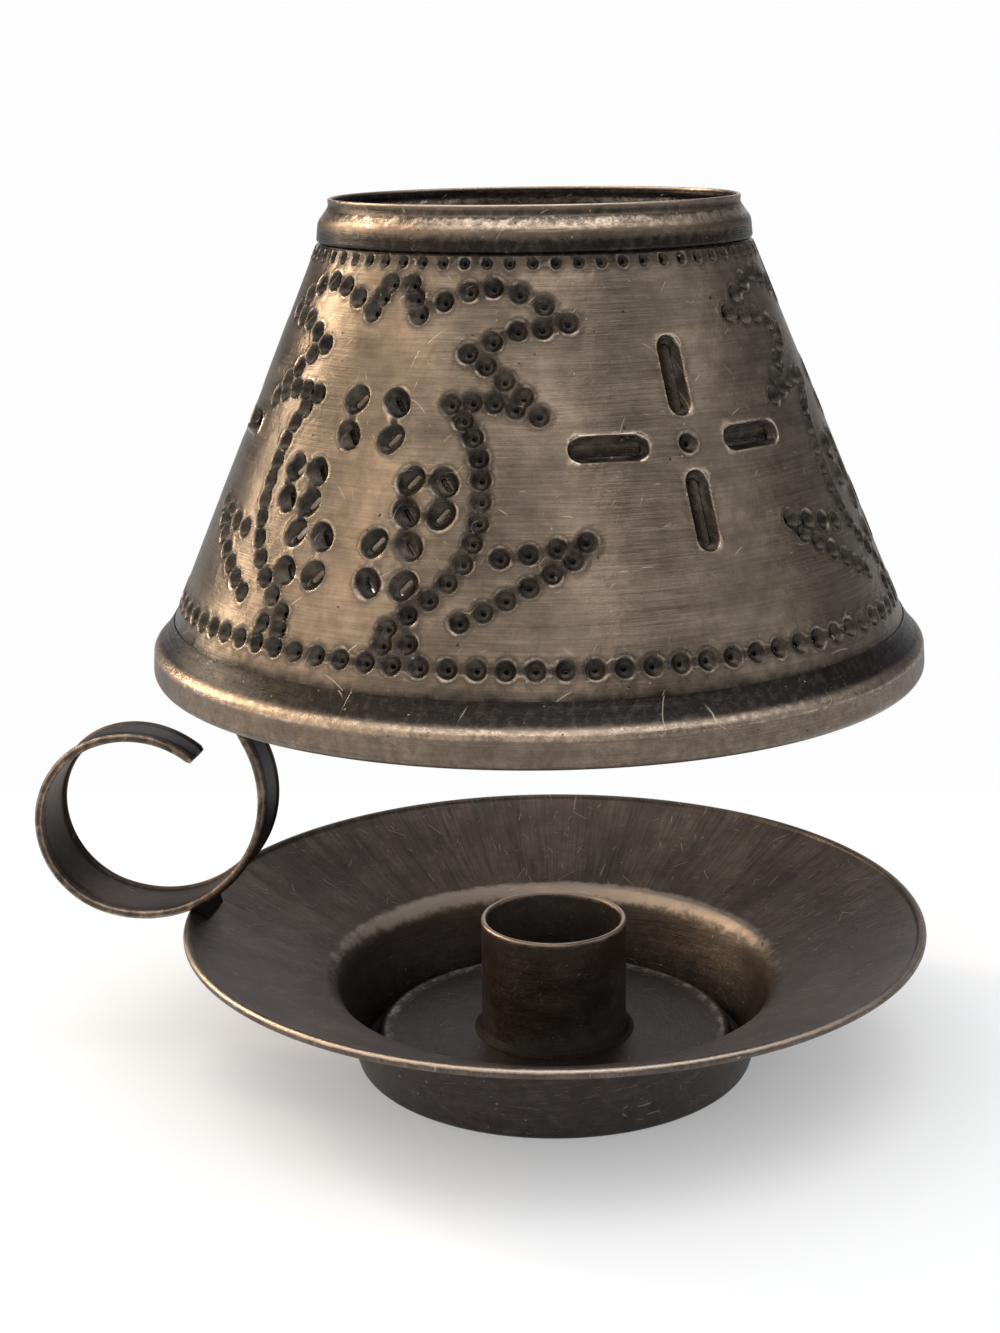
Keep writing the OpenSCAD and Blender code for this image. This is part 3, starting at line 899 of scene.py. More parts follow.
@dataclass
class CandleSocket(Piece):
    """The socket in the middle of the pan, with its rounded lip."""

    NAME = "socket_cup"
    BODY = "base"
    SLOT = "socket_tin"
    NODES = ("candle_socket",)

    outer_r: float
    top_z: float
    foot_z: float
    wall: float = 0.9
    flare: float = 0.25
    flare_h: float = 3.0
    base: float = 0.8
    segments: int = 160
    hand_work: HandWork = HandWork(0.1, (2, 3, 7), 0.4)

    @classmethod
    def from_frame(cls) -> "CandleSocket":
        """Takes the socket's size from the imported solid."""
        low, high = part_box("candle_socket")
        return cls(half_width("candle_socket"), high.z / MM, low.z / MM)

    def skin(self) -> Skin:
        """The socket's skin: bright on its lip, dark inside."""
        wall_r = self.outer_r - self.flare
        bore_r = wall_r - self.wall
        lip_r = self.wall / 2
        lip = arc((wall_r - lip_r, self.top_z - lip_r), lip_r, 0, 180, 12)
        floor_z = self.foot_z + self.base
        outer = rounded_path([
            (0, self.foot_z, 0), (self.outer_r, self.foot_z, 0.25),
            (self.outer_r - 0.08, self.foot_z + 0.9, 0.3),
            (wall_r, self.foot_z + self.flare_h, 4), (*lip[0], 0)])
        inner = rounded_path([(*lip[-1], 0), (bore_r, floor_z, 1.2), (0, floor_z, 0)])
        outline = resampled(np.concatenate([outer[:-1], lip, inner[1:]]), 0.7)
        skin = turned(outline[::-1], 0.0, self.segments)
        skin.wear_and_sheen = smooth_step(self.top_z - 0.7, self.top_z - 0.25, skin.points[:, 2])
        inside = np.hypot(skin.points[:, 0], skin.points[:, 1]) < bore_r + 0.1
        skin.patina_and_shade = 0.6 * inside * (1 - skin.wear_and_sheen)
        self.hand_work.apply(skin, 0.0, self.foot_z, self.top_z)
        return skin


@dataclass
class StrapHandle(Piece):
    """The scroll handle: one strap with both long edges folded over.

    Angles are headings of its middle line in the handle's plane, where the first axis runs out
    from the candle axis and the second one up.
    """

    NAME = "scroll_handle"
    BODY = "base"
    SLOT = "handle_tin"
    NODES = ("handle_strap",)
    CREASE = 60.0
    ARM_HEADING = 62.0
    # How far the rounded ends stand back and narrow, in mm, and how worn they are
    END_GAP = 0.02
    END_CUT = 0.22
    END_WEAR = 0.45

    plane_turn: float = 9.0
    plane_shift: float = 5.0
    wide: float = 13.0
    narrow: float = 7.0
    widest_at: float = 0.4
    thickness: float = 1.5
    rest_lean: float = 20.5
    bends: dict[str, float] = field(
        default_factory=lambda: {"bottom": 22.0, "outer": 15.0, "top": 16.8, "inner": 19.5})
    hem_r: float = 0.75
    rest_gap: float = 0.12
    pan_r: float = 61.5
    pan_z: float = 25.4
    ring_r: float = 56.3
    ring_z: float = 76.5
    ring_wire_r: float = 1.5
    ring_back: float = 2.2
    solder_gap: float = 0.5
    upright: float = 5.5
    step: float = 0.7

    def crossing(self, radius: float, back: float) -> float:
        """Distance out along the handle's plane at a radius from the axis at x = -back."""
        turn = math.radians(self.plane_turn)
        along = back * math.cos(turn) + self.plane_shift * math.sin(turn)
        rest = back * back + self.plane_shift * self.plane_shift - radius * radius
        return along + math.sqrt(along * along - rest)

    def bend(self, start: np.ndarray, heading: float, name: str, end: float) -> np.ndarray:
        """Points of a named bend from a start, turning from one heading to another."""
        radius = self.bends[name]
        sweep = end - heading
        steps = max(4, math.ceil(abs(math.radians(sweep)) * radius / self.step))
        turn = math.radians(heading)
        middle = start + radius * np.array([math.sin(turn), -math.cos(turn)])
        angles = turn + math.radians(sweep) * np.arange(steps + 1) / steps
        return middle + radius * np.column_stack([-np.sin(angles), np.cos(angles)])

    def path(self) -> np.ndarray:
        """Middle line of the strap from its free end to the carrier ring."""
        rest = 180 - self.rest_lean
        hem = np.array([self.crossing(self.pan_r - self.hem_r, 0), self.pan_z - self.hem_r])
        away = self.hem_r + self.rest_gap + self.thickness / 2
        start = hem + away * np.array([math.sin(math.radians(rest)), -math.cos(math.radians(rest))])
        low = self.bend(start, rest, "bottom", 196)
        outer = self.bend(low[-1], 196, "outer", 338)
        top = self.bend(outer[-1], 338, "top", 400)
        back = self.bend(start, rest, "bottom", 120)
        inner = self.bend(back[-1], 120, "inner", self.ARM_HEADING)
        ring_out = self.crossing(self.ring_r, self.ring_back)
        end_out = ring_out - self.ring_wire_r - self.solder_gap - self.thickness / 2
        end = np.array([end_out, self.ring_z + self.ring_wire_r])
        knee = end - [0, self.upright]
        pull = np.linalg.norm(knee - inner[-1]) / 3
        heading = math.radians(self.ARM_HEADING)
        lean = inner[-1] + pull * np.array([math.cos(heading), math.sin(heading)])
        share = np.linspace(0, 1, 30)[:, None]
        rest_share = 1 - share
        arm = (rest_share ** 3 * inner[-1] + 3 * rest_share ** 2 * share * lean
               + 3 * rest_share * share ** 2 * (knee - [0, pull]) + share ** 3 * knee)
        scroll = np.concatenate([low, outer[1:], top[1:]])[::-1]
        upright = resampled(np.array([knee, end]), self.step)
        return np.concatenate([scroll, back[1:], inner[1:], arm[1:], upright[1:]])

    def section(self, width: float) -> tuple[np.ndarray, np.ndarray, np.ndarray]:
        """One cross section: its points (across, out of the face), their wear, and their patina,
        with painted shade on the outer face.
        """
        bead = self.thickness / 2
        edge = width / 2 - bead
        angles = np.radians([118, 90, 62, 34, 8, -18, -44, -70, -96, -120])
        hem = np.column_stack([edge + bead * np.cos(angles), bead * np.sin(angles)])
        hem_wear = np.array([0.0, 0.15, 0.42, 0.62, 0.3, 0.3, 0.62, 0.4, 0.1, 0.0])
        face_out = np.array(
            [[0.0, 0.62], [edge * 0.5, 0.6], [edge - 0.95, 0.55], [edge - 0.62, 0.4]])
        face_in = np.array([[edge - 0.7, -0.2], [edge - 1.05, -0.34], [edge * 0.5, -0.38]])
        right = np.concatenate([face_out, hem, face_in, [[0.0, -0.4]]])
        wear_and_sheen = np.concatenate([[0.1, 0.1, 0.1, 0], hem_wear, [0, 0.05, 0.1, 0.1]])
        # The outer face's high patina is painted shade; the inner face stays light where light
        # falls on it.
        patina_and_shade = np.concatenate([[0.8, 0.8, 0.85, 1], np.zeros(len(hem)), [1, 0.4, 0.1, 0.1]])
        left = right[-2:0:-1] * [-1, 1]
        return (np.concatenate([right, left]), np.concatenate([wear_and_sheen, wear_and_sheen[-2:0:-1]]),
                np.concatenate([patina_and_shade, patina_and_shade[-2:0:-1]]))

    def placed(self, out: np.ndarray, across: np.ndarray, up: np.ndarray) -> np.ndarray:
        """Points of the handle's plane in the lantern's own frame."""
        turn = math.radians(self.plane_turn)
        x = -math.cos(turn) * out + math.sin(turn) * across
        y = math.sin(turn) * out - self.plane_shift + math.cos(turn) * across
        return np.column_stack([x, y, up])

    def width_at(self, share: np.ndarray) -> np.ndarray:
        """Width of the strap at a share of its length from the free end."""
        skew = math.log(0.5) / math.log(self.widest_at)
        return self.narrow + (self.wide - self.narrow) * np.sin(np.pi * share ** skew) ** 2

    def skin(self) -> Skin:
        """The strap's closed skin."""
        path = self.path()
        sides = left_sides(path)
        lengths = places_along(path)
        widths = self.width_at(lengths / lengths[-1])
        last = len(path) - 1
        path[0] += np.array([sides[0, 1], -sides[0, 0]]) * self.END_GAP
        path[last] -= np.array([sides[last, 1], -sides[last, 0]]) * self.END_GAP
        points: list[np.ndarray] = []
        wear_and_sheen: list[np.ndarray] = []
        patina_and_shade: list[np.ndarray] = []
        for row, (middle, side, width) in enumerate(zip(path, sides, widths)):
            shape, rubbed, darkening = self.section(width)
            if row in (0, last):
                shape = shape - np.sign(shape) * np.minimum(np.abs(shape), self.END_CUT)
                rubbed = np.maximum(rubbed, self.END_WEAR)
            spot = middle + side * shape[:, 1:2]
            points.append(self.placed(spot[:, 0], shape[:, 0], spot[:, 1]))
            wear_and_sheen.append(rubbed)
            patina_and_shade.append(darkening)
        count = len(shape)
        faces: list[tuple[int, ...]] = [
            (row * count + k, row * count + (k + 1) % count,
             (row + 1) * count + (k + 1) % count, (row + 1) * count + k)
            for row in range(last) for k in range(count)]
        top = last * count
        caps = self._cap(count)
        faces += [tuple(reversed(cap)) for cap in caps]
        faces += [tuple(top + corner for corner in cap) for cap in caps]
        return Skin(np.concatenate(points), faces, np.concatenate(wear_and_sheen), np.concatenate(patina_and_shade))

    @staticmethod
    def _cap(count: int) -> list[tuple[int, ...]]:
        """Faces that close one end of the strap, as strips from face to face."""
        half = count // 2
        strips: list[tuple[int, ...]] = []
        for k in range(half - 1):
            first, second = k, k + 1
            facing, following = (half * 2 - k) % count, half * 2 - k - 1
            if facing == first:
                strips.append((first, second, following))
            else:
                strips.append((first, second, following, facing))
        strips.append((half - 1, half, half + 1))
        return strips

# Shade


class PunchKind(Enum):
    """The tools that marked the shade's sheet."""

    DOT = "dot"
    NECK_DOT = "neck dot"
    SLIT = "slit"
    SLOT = "slot"


@dataclass(frozen=True)
class PunchTool:
    """Opening and pit that one tool leaves, both with round ends, in mm.

    Attributes:
        hole_half: Half of the straight length of the opening.
        hole_r: Half of the opening's width.
        pit_half: Half of the straight length of the pit.
        pit_r: Half of the pit's width.
        depth: Depth of the pit at the opening's edge.
        segments: Points round each ring of the mesh.
        rings: Places of the rings between opening (0) and pit (1), and beyond it.
        halo: Width of the dark halo round the pit.
        rub_and_glint: Wear of the raised crest round the pit, which also paints its highlight, from
            0 to 1.
    """

    hole_half: float
    hole_r: float
    pit_half: float
    pit_r: float
    depth: float
    segments: int
    rings: tuple[float, ...]
    halo: float
    rub_and_glint: float

    @property
    def reach(self) -> float:
        """Distance from the middle past which the tool leaves no trace."""
        return self.pit_half + self.pit_r + self.halo + 0.5

    def outline(self, share: float, offset: float) -> np.ndarray:
        """Points (long way, short way) of the ring at a share from the opening to the pit."""
        half = max(0.0, self.hole_half + (self.pit_half - self.hole_half) * share)
        radius = self.hole_r + (self.pit_r - self.hole_r) * share
        length = 4 * half + FULL_TURN * radius
        places = (np.arange(self.segments) + offset) / self.segments * length
        quarter = math.pi * radius
        points = np.empty((self.segments, 2))
        for index, place in enumerate(places):
            if place < 2 * half:
                points[index] = (half - place, radius)
            elif place < 2 * half + quarter:
                turn = math.pi / 2 + (place - 2 * half) / radius
                points[index] = (-half + radius * math.cos(turn), radius * math.sin(turn))
            elif place < 4 * half + quarter:
                points[index] = (-half + place - 2 * half - quarter, -radius)
            else:
                turn = -math.pi / 2 + (place - 4 * half - quarter) / radius
                points[index] = (half + radius * math.cos(turn), radius * math.sin(turn))
        return points

    @staticmethod
    def _edge(along: np.ndarray, side: np.ndarray, half: float, radius: float) -> np.ndarray:
        """Distance from the middle to a round-ended outline, in each direction (along, side)."""
        end = half * along + np.sqrt(np.maximum(radius ** 2 - (half * side) ** 2, 0))
        flat = radius / np.maximum(side, 1e-9)
        return np.where(flat * along <= half, flat, end)

    def share_at(self, long_way: np.ndarray, short_way: np.ndarray) -> np.ndarray:
        """Place of points between the opening's edge (0) and the pit's edge (1)."""
        distance = np.hypot(long_way, short_way) + 1e-9
        along = np.abs(long_way) / distance
        side = np.abs(short_way) / distance
        inner = self._edge(along, side, self.hole_half, self.hole_r)
        outer = self._edge(along, side, self.pit_half, self.pit_r)
        return (distance - inner) / (outer - inner)


@dataclass(frozen=True)
class Sliver:
    """The metal that a tool folds inwards, hinged along one edge of its hole, in mm.

    Attributes:
        half: Half of the hinge's length.
        reach: Length from the hinge to the free edge.
        across: Whether the hinge lies across the hole's long way.
        wear_and_sheen: Wear of its bent face, which paints the glints on the slits' slivers.
        patina_and_shade: Patina of its bent face, which paints the slivers dark as shade inside the
            shade.
        taper: Width of its free edge as a share of the hinge.
    """

    half: float
    reach: float
    across: bool
    wear_and_sheen: float
    patina_and_shade: float
    taper: float

    STATIONS = 5
    THICKNESS = 0.22
    SET_BACK = 0.12

    def shape(self, tool: PunchTool) -> tuple[np.ndarray, np.ndarray]:
        """Points as (along the hinge, along the fold, depth), and their wear with its painted
        glint.

        Args:
            tool: The tool that made the hole.

        Returns:
            The points of the closed sliver and their wear with its painted glint.
        """
        edge = tool.hole_r + (tool.hole_half if self.across else 0.0)
        angle = np.radians(np.linspace(18, 62, self.STATIONS))
        step = self.reach / (self.STATIONS - 1)
        fold = -edge - self.SET_BACK + np.concatenate([[0], np.cumsum(step * np.cos(angle[1:]))])
        depth = (tool.depth + self.SET_BACK
                 + np.concatenate([[0], np.cumsum(step * np.sin(angle[1:]))]))
        half = self.half * np.linspace(1, self.taper, self.STATIONS)
        back_fold = fold - self.THICKNESS * np.sin(angle)
        back_depth = depth + self.THICKNESS * np.cos(angle)
        points = np.concatenate([
            np.column_stack([-half, fold, depth]), np.column_stack([half, fold, depth]),
            np.column_stack([half, back_fold, back_depth]),
            np.column_stack([-half, back_fold, back_depth])])
        rub_and_glint = self.wear_and_sheen * np.linspace(0.6, 1, self.STATIONS)
        return points, np.concatenate([rub_and_glint, rub_and_glint, 0 * rub_and_glint, 0 * rub_and_glint])

    @classmethod
    def faces(cls) -> list[tuple[int, ...]]:
        """Faces of one sliver."""
        rows = cls.STATIONS
        sides = [(side * rows + k, side * rows + k + 1,
                  (side + 1) % 4 * rows + k + 1, (side + 1) % 4 * rows + k)
                 for side in range(4) for k in range(rows - 1)]
        ends = [(0, rows, 2 * rows, 3 * rows), (4 * rows - 1, 3 * rows - 1, 2 * rows - 1, rows - 1)]
        return sides + ends


ROUND_RINGS = (0.0, 0.16, 0.4, 0.68, 0.9, 1.08, 1.5)
LONG_RINGS = (0.0, 0.2, 0.5, 0.8, 1.0, 1.3)
TOOLS = {
    PunchKind.DOT: PunchTool(0.0, 0.38, 0.0, 1.62, 0.95, 20, ROUND_RINGS, 1.3, 0.42),
    PunchKind.NECK_DOT: PunchTool(0.05, 0.33, 0.2, 0.85, 0.5, 14, ROUND_RINGS, 0.9, 0.3),
    PunchKind.SLIT: PunchTool(0.85, 0.48, 0.35, 2.05, 1.15, 26, ROUND_RINGS, 1.05, 0.45),
    PunchKind.SLOT: PunchTool(4.1, 0.9, 4.0, 1.95, 1.2, 60, LONG_RINGS, 0.75, 0.75),
}
# Slivers: the slits' wear paints glints, and the high patina paints slivers dark as shade inside
# the shade.
SLIVERS = {
    PunchKind.DOT: Sliver(0.5, 1.3, True, 0.0, 1.0, 0.8),
    PunchKind.NECK_DOT: Sliver(0.4, 1.1, True, 0.0, 1.0, 0.8),
    PunchKind.SLIT: Sliver(1.45, 1.55, False, 0.6, 0.5, 0.6),
    PunchKind.SLOT: Sliver(5.4, 2.3, False, 0.2, 0.86, 0.97),
}


@dataclass(frozen=True)
class Punch:
    """One mark: its turn, its height over the shade's lowest point, its tool and its lean."""

    turn: float
    height: float
    kind: PunchKind
    lean: float = 0.0


Cluster = tuple[tuple[float, float], tuple[float, float]]


@dataclass
class PunchPattern:
    """The punched pattern: three motifs, three crosses, and a row above the rim and at the neck."""

    cross_r: float
    rim_row_z: float
    neck_row_z: float
    repeats: int = 3
    rim_dots: int = 87
    neck_dots: int = 66
    motif_turn: float = -32.0
    cross_turn: float = 29.0
    cross_z: float = 41.0
    cross_up: float = 9.0
    cross_side: float = 12.0
    petal_lean: float = 40.0

    # The dots of one half of the motif, as (turn, height)
    CROWN = ((6.3, 58.6), (11.8, 60.4), (17.4, 61.8), (23, 62.3), (29, 61.5), (34.5, 59.9),
             (39.5, 57.5))
    STEM = ((3, 62.6), (4.7, 60.7))
    BROW = ((34, 56.8), (28.7, 56.6), (23.5, 55.2), (18.5, 53.6))
    FOLD = ((22.5, 52), (26.3, 50), (30, 47.9), (33, 45.4))
    SHELF = ((28.6, 46.4), (24.5, 47.1), (20.2, 47.2), (16, 46.9))
    FLANK = ((18.8, 44.8), (20.9, 42.6), (22.2, 39.9), (22.8, 37.1), (23, 34.3), (22.8, 31.6),
             (22, 29), (20.7, 26.3), (18.5, 23.8), (15.8, 21.5), (12.8, 19.4), (9.8, 17.5))
    LEAF = ((26.5, 27.1), (31, 27.6), (35.6, 28.3), (40.3, 29), (38, 26.8),
            (34.6, 25.1), (31.1, 23.4), (27.6, 21.8), (24.2, 20.2), (20.8, 18.8))
    FOOT = ((13.4, 15.7), (9.4, 15.3))
    HALF_MOTIF = CROWN + STEM + BROW + FOLD + SHELF + FLANK + LEAF + FOOT
    # Four-slit clusters: the middle as (turn, height), then each slit's distance from it
    UPPER_PETALS = ((0.0, 44.4), (4.8, 2.4))
    MIDDLE_PETALS = ((13.3, 34.6), (3.1, 2.1))
    LOWER_PETALS = ((8.4, 25.7), (3.1, 2.6))

    def _petals(self, cluster: Cluster, side: int, turn: float) -> list[Punch]:
        """The four slits of one cluster."""
        middle, span = cluster
        return [Punch(turn + side * middle[0] + x * span[0], middle[1] + z * span[1],
                      PunchKind.SLIT, x * z * self.petal_lean)
                for x in (-1, 1) for z in (-1, 1)]

    def _motif(self, turn: float) -> list[Punch]:
        """One motif, with its two mirrored halves."""
        marks = [Punch(turn + side * way, height, PunchKind.DOT)
                 for side in (-1, 1) for way, height in self.HALF_MOTIF]
        marks += self._petals(self.UPPER_PETALS, 1, turn)
        for side in (-1, 1):
            for cluster in (self.MIDDLE_PETALS, self.LOWER_PETALS):
                marks += self._petals(cluster, side, turn)
        return marks

    def _cross(self, turn: float) -> list[Punch]:
        """One cross of four slots round a dot."""
        marks = [Punch(turn, self.cross_z, PunchKind.DOT)]
        aside = math.degrees(self.cross_side / self.cross_r)
        for side in (-1, 1):
            marks.append(Punch(turn, self.cross_z + side * self.cross_up, PunchKind.SLOT))
            marks.append(Punch(turn + side * aside, self.cross_z, PunchKind.SLOT, 90.0))
        return marks

    def marks(self) -> list[Punch]:
        """Every mark of the shade."""
        marks: list[Punch] = []
        for count, height, kind in ((self.rim_dots, self.rim_row_z, PunchKind.DOT),
                                    (self.neck_dots, self.neck_row_z, PunchKind.NECK_DOT)):
            marks += [Punch(k * 360 / count, height, kind) for k in range(count)]
        for k in range(self.repeats):
            step = k * 360 / self.repeats
            marks += self._motif(self.motif_turn + step)
            marks += self._cross(self.cross_turn + step)
        return marks


@dataclass
class ShadePlace:
    """Where the shade stands and how large it is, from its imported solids, in mm."""

    axis_x: float
    base_z: float
    rim_r: float
    height: float
    foot_r: float
    foot_z: float
    top_z: float

    @classmethod
    def from_frame(cls) -> "ShadePlace":
        """Reads the place from the rim band, the cone and the neck."""
        low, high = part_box("shade_rim_band")
        cone_low, cone_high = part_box("shade_cone")
        base = low.z / MM
        return cls(
            axis_x=(low.x + high.x) / 2 / MM, base_z=base, rim_r=half_width("shade_rim_band"),
            height=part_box("shade_collar")[1].z / MM - base, foot_r=half_width("shade_cone"),
            foot_z=cone_low.z / MM - base, top_z=cone_high.z / MM - base)

    def standing(self, turn: float, radius: float, height: float) -> np.ndarray:
        """The point at a turn in radians, a radius and a height over the shade's lowest point."""
        return np.array([self.axis_x + radius * math.sin(turn), -radius * math.cos(turn),
                         self.base_z + height])

    def reach_and_rise(self, points: np.ndarray) -> tuple[np.ndarray, np.ndarray]:
        """Radius of points from the shade's axis, and their height over its lowest point."""
        return np.hypot(points[:, 0] - self.axis_x, points[:, 1]), points[:, 2] - self.base_z


@dataclass
class PunchedCone(Piece):
    """The shade's cone: one punched sheet, rolled up and lapped at the back."""

    NAME = "punched_cone"
    BODY = "shade"
    SLOT = "shade_tin"
    NODES = ("shade_cone",)
    CREASE = 55.0
    # Place, in shares of a tool's pit, of points that belong to no tool
    FREE = 9.0
    # How far points of the grid keep from the border, in mm and in degrees
    EDGE_Z = 0.3
    EDGE_TURN = 0.4

    place: ShadePlace
    top_r: float = 33.5
    sheet: float = 0.5
    seam_turn: float = 177.5
    lap_turn: float = 9.0
    row_drop: float = 0.9
    rim_row_z: float = 12.9
    grid: float = 1.0
    dent: float = 0.12
    crest_h: float = 0.12
    bowl_patina: float = 0.9
    band_z: float = 8.8

    @property
    def slope(self) -> float:
        """How much the radius shrinks for each millimetre of height."""
        return (self.place.foot_r - self.top_r) / (self.place.top_z - self.place.foot_z)

    @property
    def spread(self) -> float:
        """Angle of the flat fan for each degree of turn."""
        return math.sin(math.atan(self.slope))

    def radius(self, height: np.ndarray) -> np.ndarray:
        """Outside radius at a height above the shade's lowest point."""
        return self.top_r + (self.place.top_z - height) * self.slope

    def unroll(self, turn: np.ndarray, height: np.ndarray) -> np.ndarray:
        """Place on the flat sheet of points at a turn in degrees and a height."""
        reach = self.radius(height) / self.spread
        angle = np.radians(turn) * self.spread
        return np.column_stack([reach * np.sin(angle), -reach * np.cos(angle)])

    def roll_up(self, flat: np.ndarray) -> tuple[np.ndarray, np.ndarray]:
        """Turn in degrees and height of points of the flat sheet."""
        reach = np.hypot(flat[:, 0], flat[:, 1])
        turn = np.degrees(np.arctan2(flat[:, 0], -flat[:, 1])) / self.spread
        height = self.place.top_z - (reach * self.spread - self.top_r) / self.slope
        return turn, height

    @property
    def turn_range(self) -> tuple[float, float]:
        """Turns of the sheet's two side edges."""
        return self.seam_turn - 360 - self.lap_turn / 2, self.seam_turn + self.lap_turn / 2

    def marks(self) -> list[Punch]:
        """Every mark on the flat sheet, those under the lap twice."""
        neck_row_z = self.place.top_z - self.row_drop
        pattern = PunchPattern(float(self.radius(41.0)), self.rim_row_z, neck_row_z)
        first, last = self.turn_range
        found: list[Punch] = []
        for mark in pattern.marks():
            for lap in (-720, -360, 0, 360):
                turn = mark.turn + lap
                if first - 3 < turn < last + 3:
                    found.append(Punch(turn, mark.height, mark.kind, mark.lean))
        return found

    def _local(self, mark: Punch) -> tuple[np.ndarray, np.ndarray, np.ndarray]:
        """Middle, long direction and short direction of a mark on the flat sheet."""
        middle = self.unroll(np.array([mark.turn]), np.array([mark.height]))[0]
        down = unit(middle)
        right = np.array([-down[1], down[0]])
        lean = math.radians(mark.lean)
        return (middle, math.cos(lean) * down + math.sin(lean) * right,
                math.cos(lean) * right - math.sin(lean) * down)

    def _border(self) -> np.ndarray:
        """Points along the four edges of the flat sheet."""
        first, last = self.turn_range
        sides: list[np.ndarray] = []
        for height in (self.place.foot_z, self.place.top_z):
            length = math.radians(last - first) * float(self.radius(height))
            turns = np.linspace(first, last, math.ceil(length / (self.grid * 0.8)) + 1)
            sides.append(self.unroll(turns, np.full(len(turns), height)))
        rise = np.linspace(self.place.foot_z, self.place.top_z, math.ceil(70 / self.grid))[1:-1]
        for turn in (first, last):
            sides.append(self.unroll(np.full(len(rise), turn), rise))
        return np.concatenate(sides)

    def _grid_points(self) -> np.ndarray:
        """Even points all over the flat sheet, inside its border."""
        first, last = self.turn_range
        rows: list[np.ndarray] = []
        slant = (self.place.top_z - self.place.foot_z) / math.cos(math.atan(self.slope))
        count = round(slant / (self.grid * 0.87))
        for index in range(1, count):
            height = self.place.foot_z + (self.place.top_z - self.place.foot_z) * index / count
            length = math.radians(last - first) * float(self.radius(height))
            steps = round(length / self.grid)
            stagger = 0.5 * (index % 2)
            turns = first + (last - first) * (np.arange(1, steps) + stagger) / (steps + 0.5)
            rows.append(self.unroll(turns, np.full(len(turns), height)))
        return np.concatenate(rows)

    def _scatter(self, marks: list[Punch]) -> tuple[np.ndarray, ...]:
        """Rings of points round every mark, and even points between them.

        Args:
            marks: The punch marks.

        Returns:
            The points, the number of the mark that each belongs to (-1 for none), its place in
            shares of that mark's pit, and whether it lies on the sheet's border.
        """
        parts: list[tuple[np.ndarray, int, float]] = []
        for index, mark in enumerate(marks):
            tool = TOOLS[mark.kind]
            middle, long_way, short_way = self._local(mark)
            for order, share in enumerate(tool.rings):
                local = tool.outline(share, 0.5 * (order % 2))
                parts.append((middle + local[:, :1] * long_way + local[:, 1:] * short_way,
                              index, share))
        border = self._border()
        parts += [(border, -1, self.FREE), (self._grid_points(), -1, self.FREE)]
        points = np.concatenate([part[0] for part in parts])
        sizes = [len(part[0]) for part in parts]
        owner = np.repeat([part[1] for part in parts], sizes)
        ring_share = np.repeat([part[2] for part in parts], sizes)
        is_border = np.zeros(len(points), dtype=bool)
        start = sum(sizes[:-2])
        is_border[start:start + len(border)] = True
        return points, owner, ring_share, is_border

    def _layout(self, marks: list[Punch]) -> tuple[np.ndarray, ...]:
        """Points of the flat sheet, with what the tools did to them.

        Args:
            marks: The punch marks.

        Returns:
            The points, their depth in mm, and their patina, crest, and crest wear with its painted
            highlight, from 0 to 1.
        """
        points, owner, ring_share, is_border = self._scatter(marks)
        first, last = self.turn_range
        turn, height = self.roll_up(points)
        inside = ((height > self.place.foot_z + self.EDGE_Z)
                  & (height < self.place.top_z - self.EDGE_Z)
                  & (turn > first + self.EDGE_TURN) & (turn < last - self.EDGE_TURN))
        keep = inside | is_border
        deep, darkening, crest, rub_and_glint, crowding = np.zeros((5, len(points)))
        for index, mark in enumerate(marks):
            tool = TOOLS[mark.kind]
            middle, long_way, short_way = self._local(mark)
            near = np.flatnonzero(np.max(np.abs(points - middle), axis=1) < tool.reach)
            local = points[near] - middle
            share = tool.share_at(local @ long_way, local @ short_way)
            deep[near] += (tool.depth * (1 - np.clip(share, 0, 1) ** 2) ** 1.4) ** 3
            distance = (share - 1) * (tool.pit_r - tool.hole_r)
            bowl = self.bowl_patina + (1 - self.bowl_patina) * smooth_step(0.3, 0.05, share)
            shade = bowl * (1 - smooth_step(-0.1, tool.halo, distance))
            darkening[near] = np.maximum(darkening[near], shade)
            # The raised crest's wear also paints the highlight that catches it.
            raised = np.exp(-((distance - 0.05) / 0.3) ** 2)
            crest[near] = np.maximum(crest[near], raised)
            rub_and_glint[near] = np.maximum(rub_and_glint[near], tool.rub_and_glint * raised)
            crowding[near] += 1 - smooth_step(0, tool.halo, distance)
            mine = ring_share[near]
            free = owner[near] < 0
            crowd = (owner[near] != index) & (
                (free & (share < 1.5)) | (~free & (share < 0.1))
                | (~free & (share < mine - 0.02) & (mine > 0.01)))
            keep[near[crowd & ~is_border[near]]] = False
        depth = deep ** (1 / 3)
        shallow = smooth_step(0.3, 0.05, depth)
        furrow = smooth_step(1.0, 1.5, crowding)
        darkening = np.maximum(darkening, 0.85 * furrow)
        rub_and_glint *= shallow * (1 - 0.85 * furrow)
        return points[keep], depth[keep], darkening[keep], (crest * shallow)[keep], rub_and_glint[keep]

    def _mesh_flat(self, points: np.ndarray, marks: list[Punch]) -> np.ndarray:
        """Triangles of the flat sheet, without its holes.

        Args:
            points: Points of the flat sheet.
            marks: The punch marks.

        Returns:
            The triangles.
        """
        flat = [Vector((float(x), float(y))) for x, y in points]
        made = delaunay_2d_cdt(flat, [], [], 0, 1e-5)
        source = np.array([ids[0] for ids in made[3]])
        triangles = source[np.array(made[2])]
        centres = points[triangles].mean(axis=1)
        turn, height = self.roll_up(centres)
        first, last = self.turn_range
        drop = ((height < self.place.foot_z) | (height > self.place.top_z)
                | (turn < first) | (turn > last))
        for mark in marks:
            tool = TOOLS[mark.kind]
            middle, long_way, short_way = self._local(mark)
            reach = tool.hole_half + tool.hole_r + 0.1
            near = np.flatnonzero(np.max(np.abs(centres - middle), axis=1) < reach)
            local = centres[near] - middle
            drop[near[tool.share_at(local @ long_way, local @ short_way) < 0.0]] = True
        return triangles[~drop]

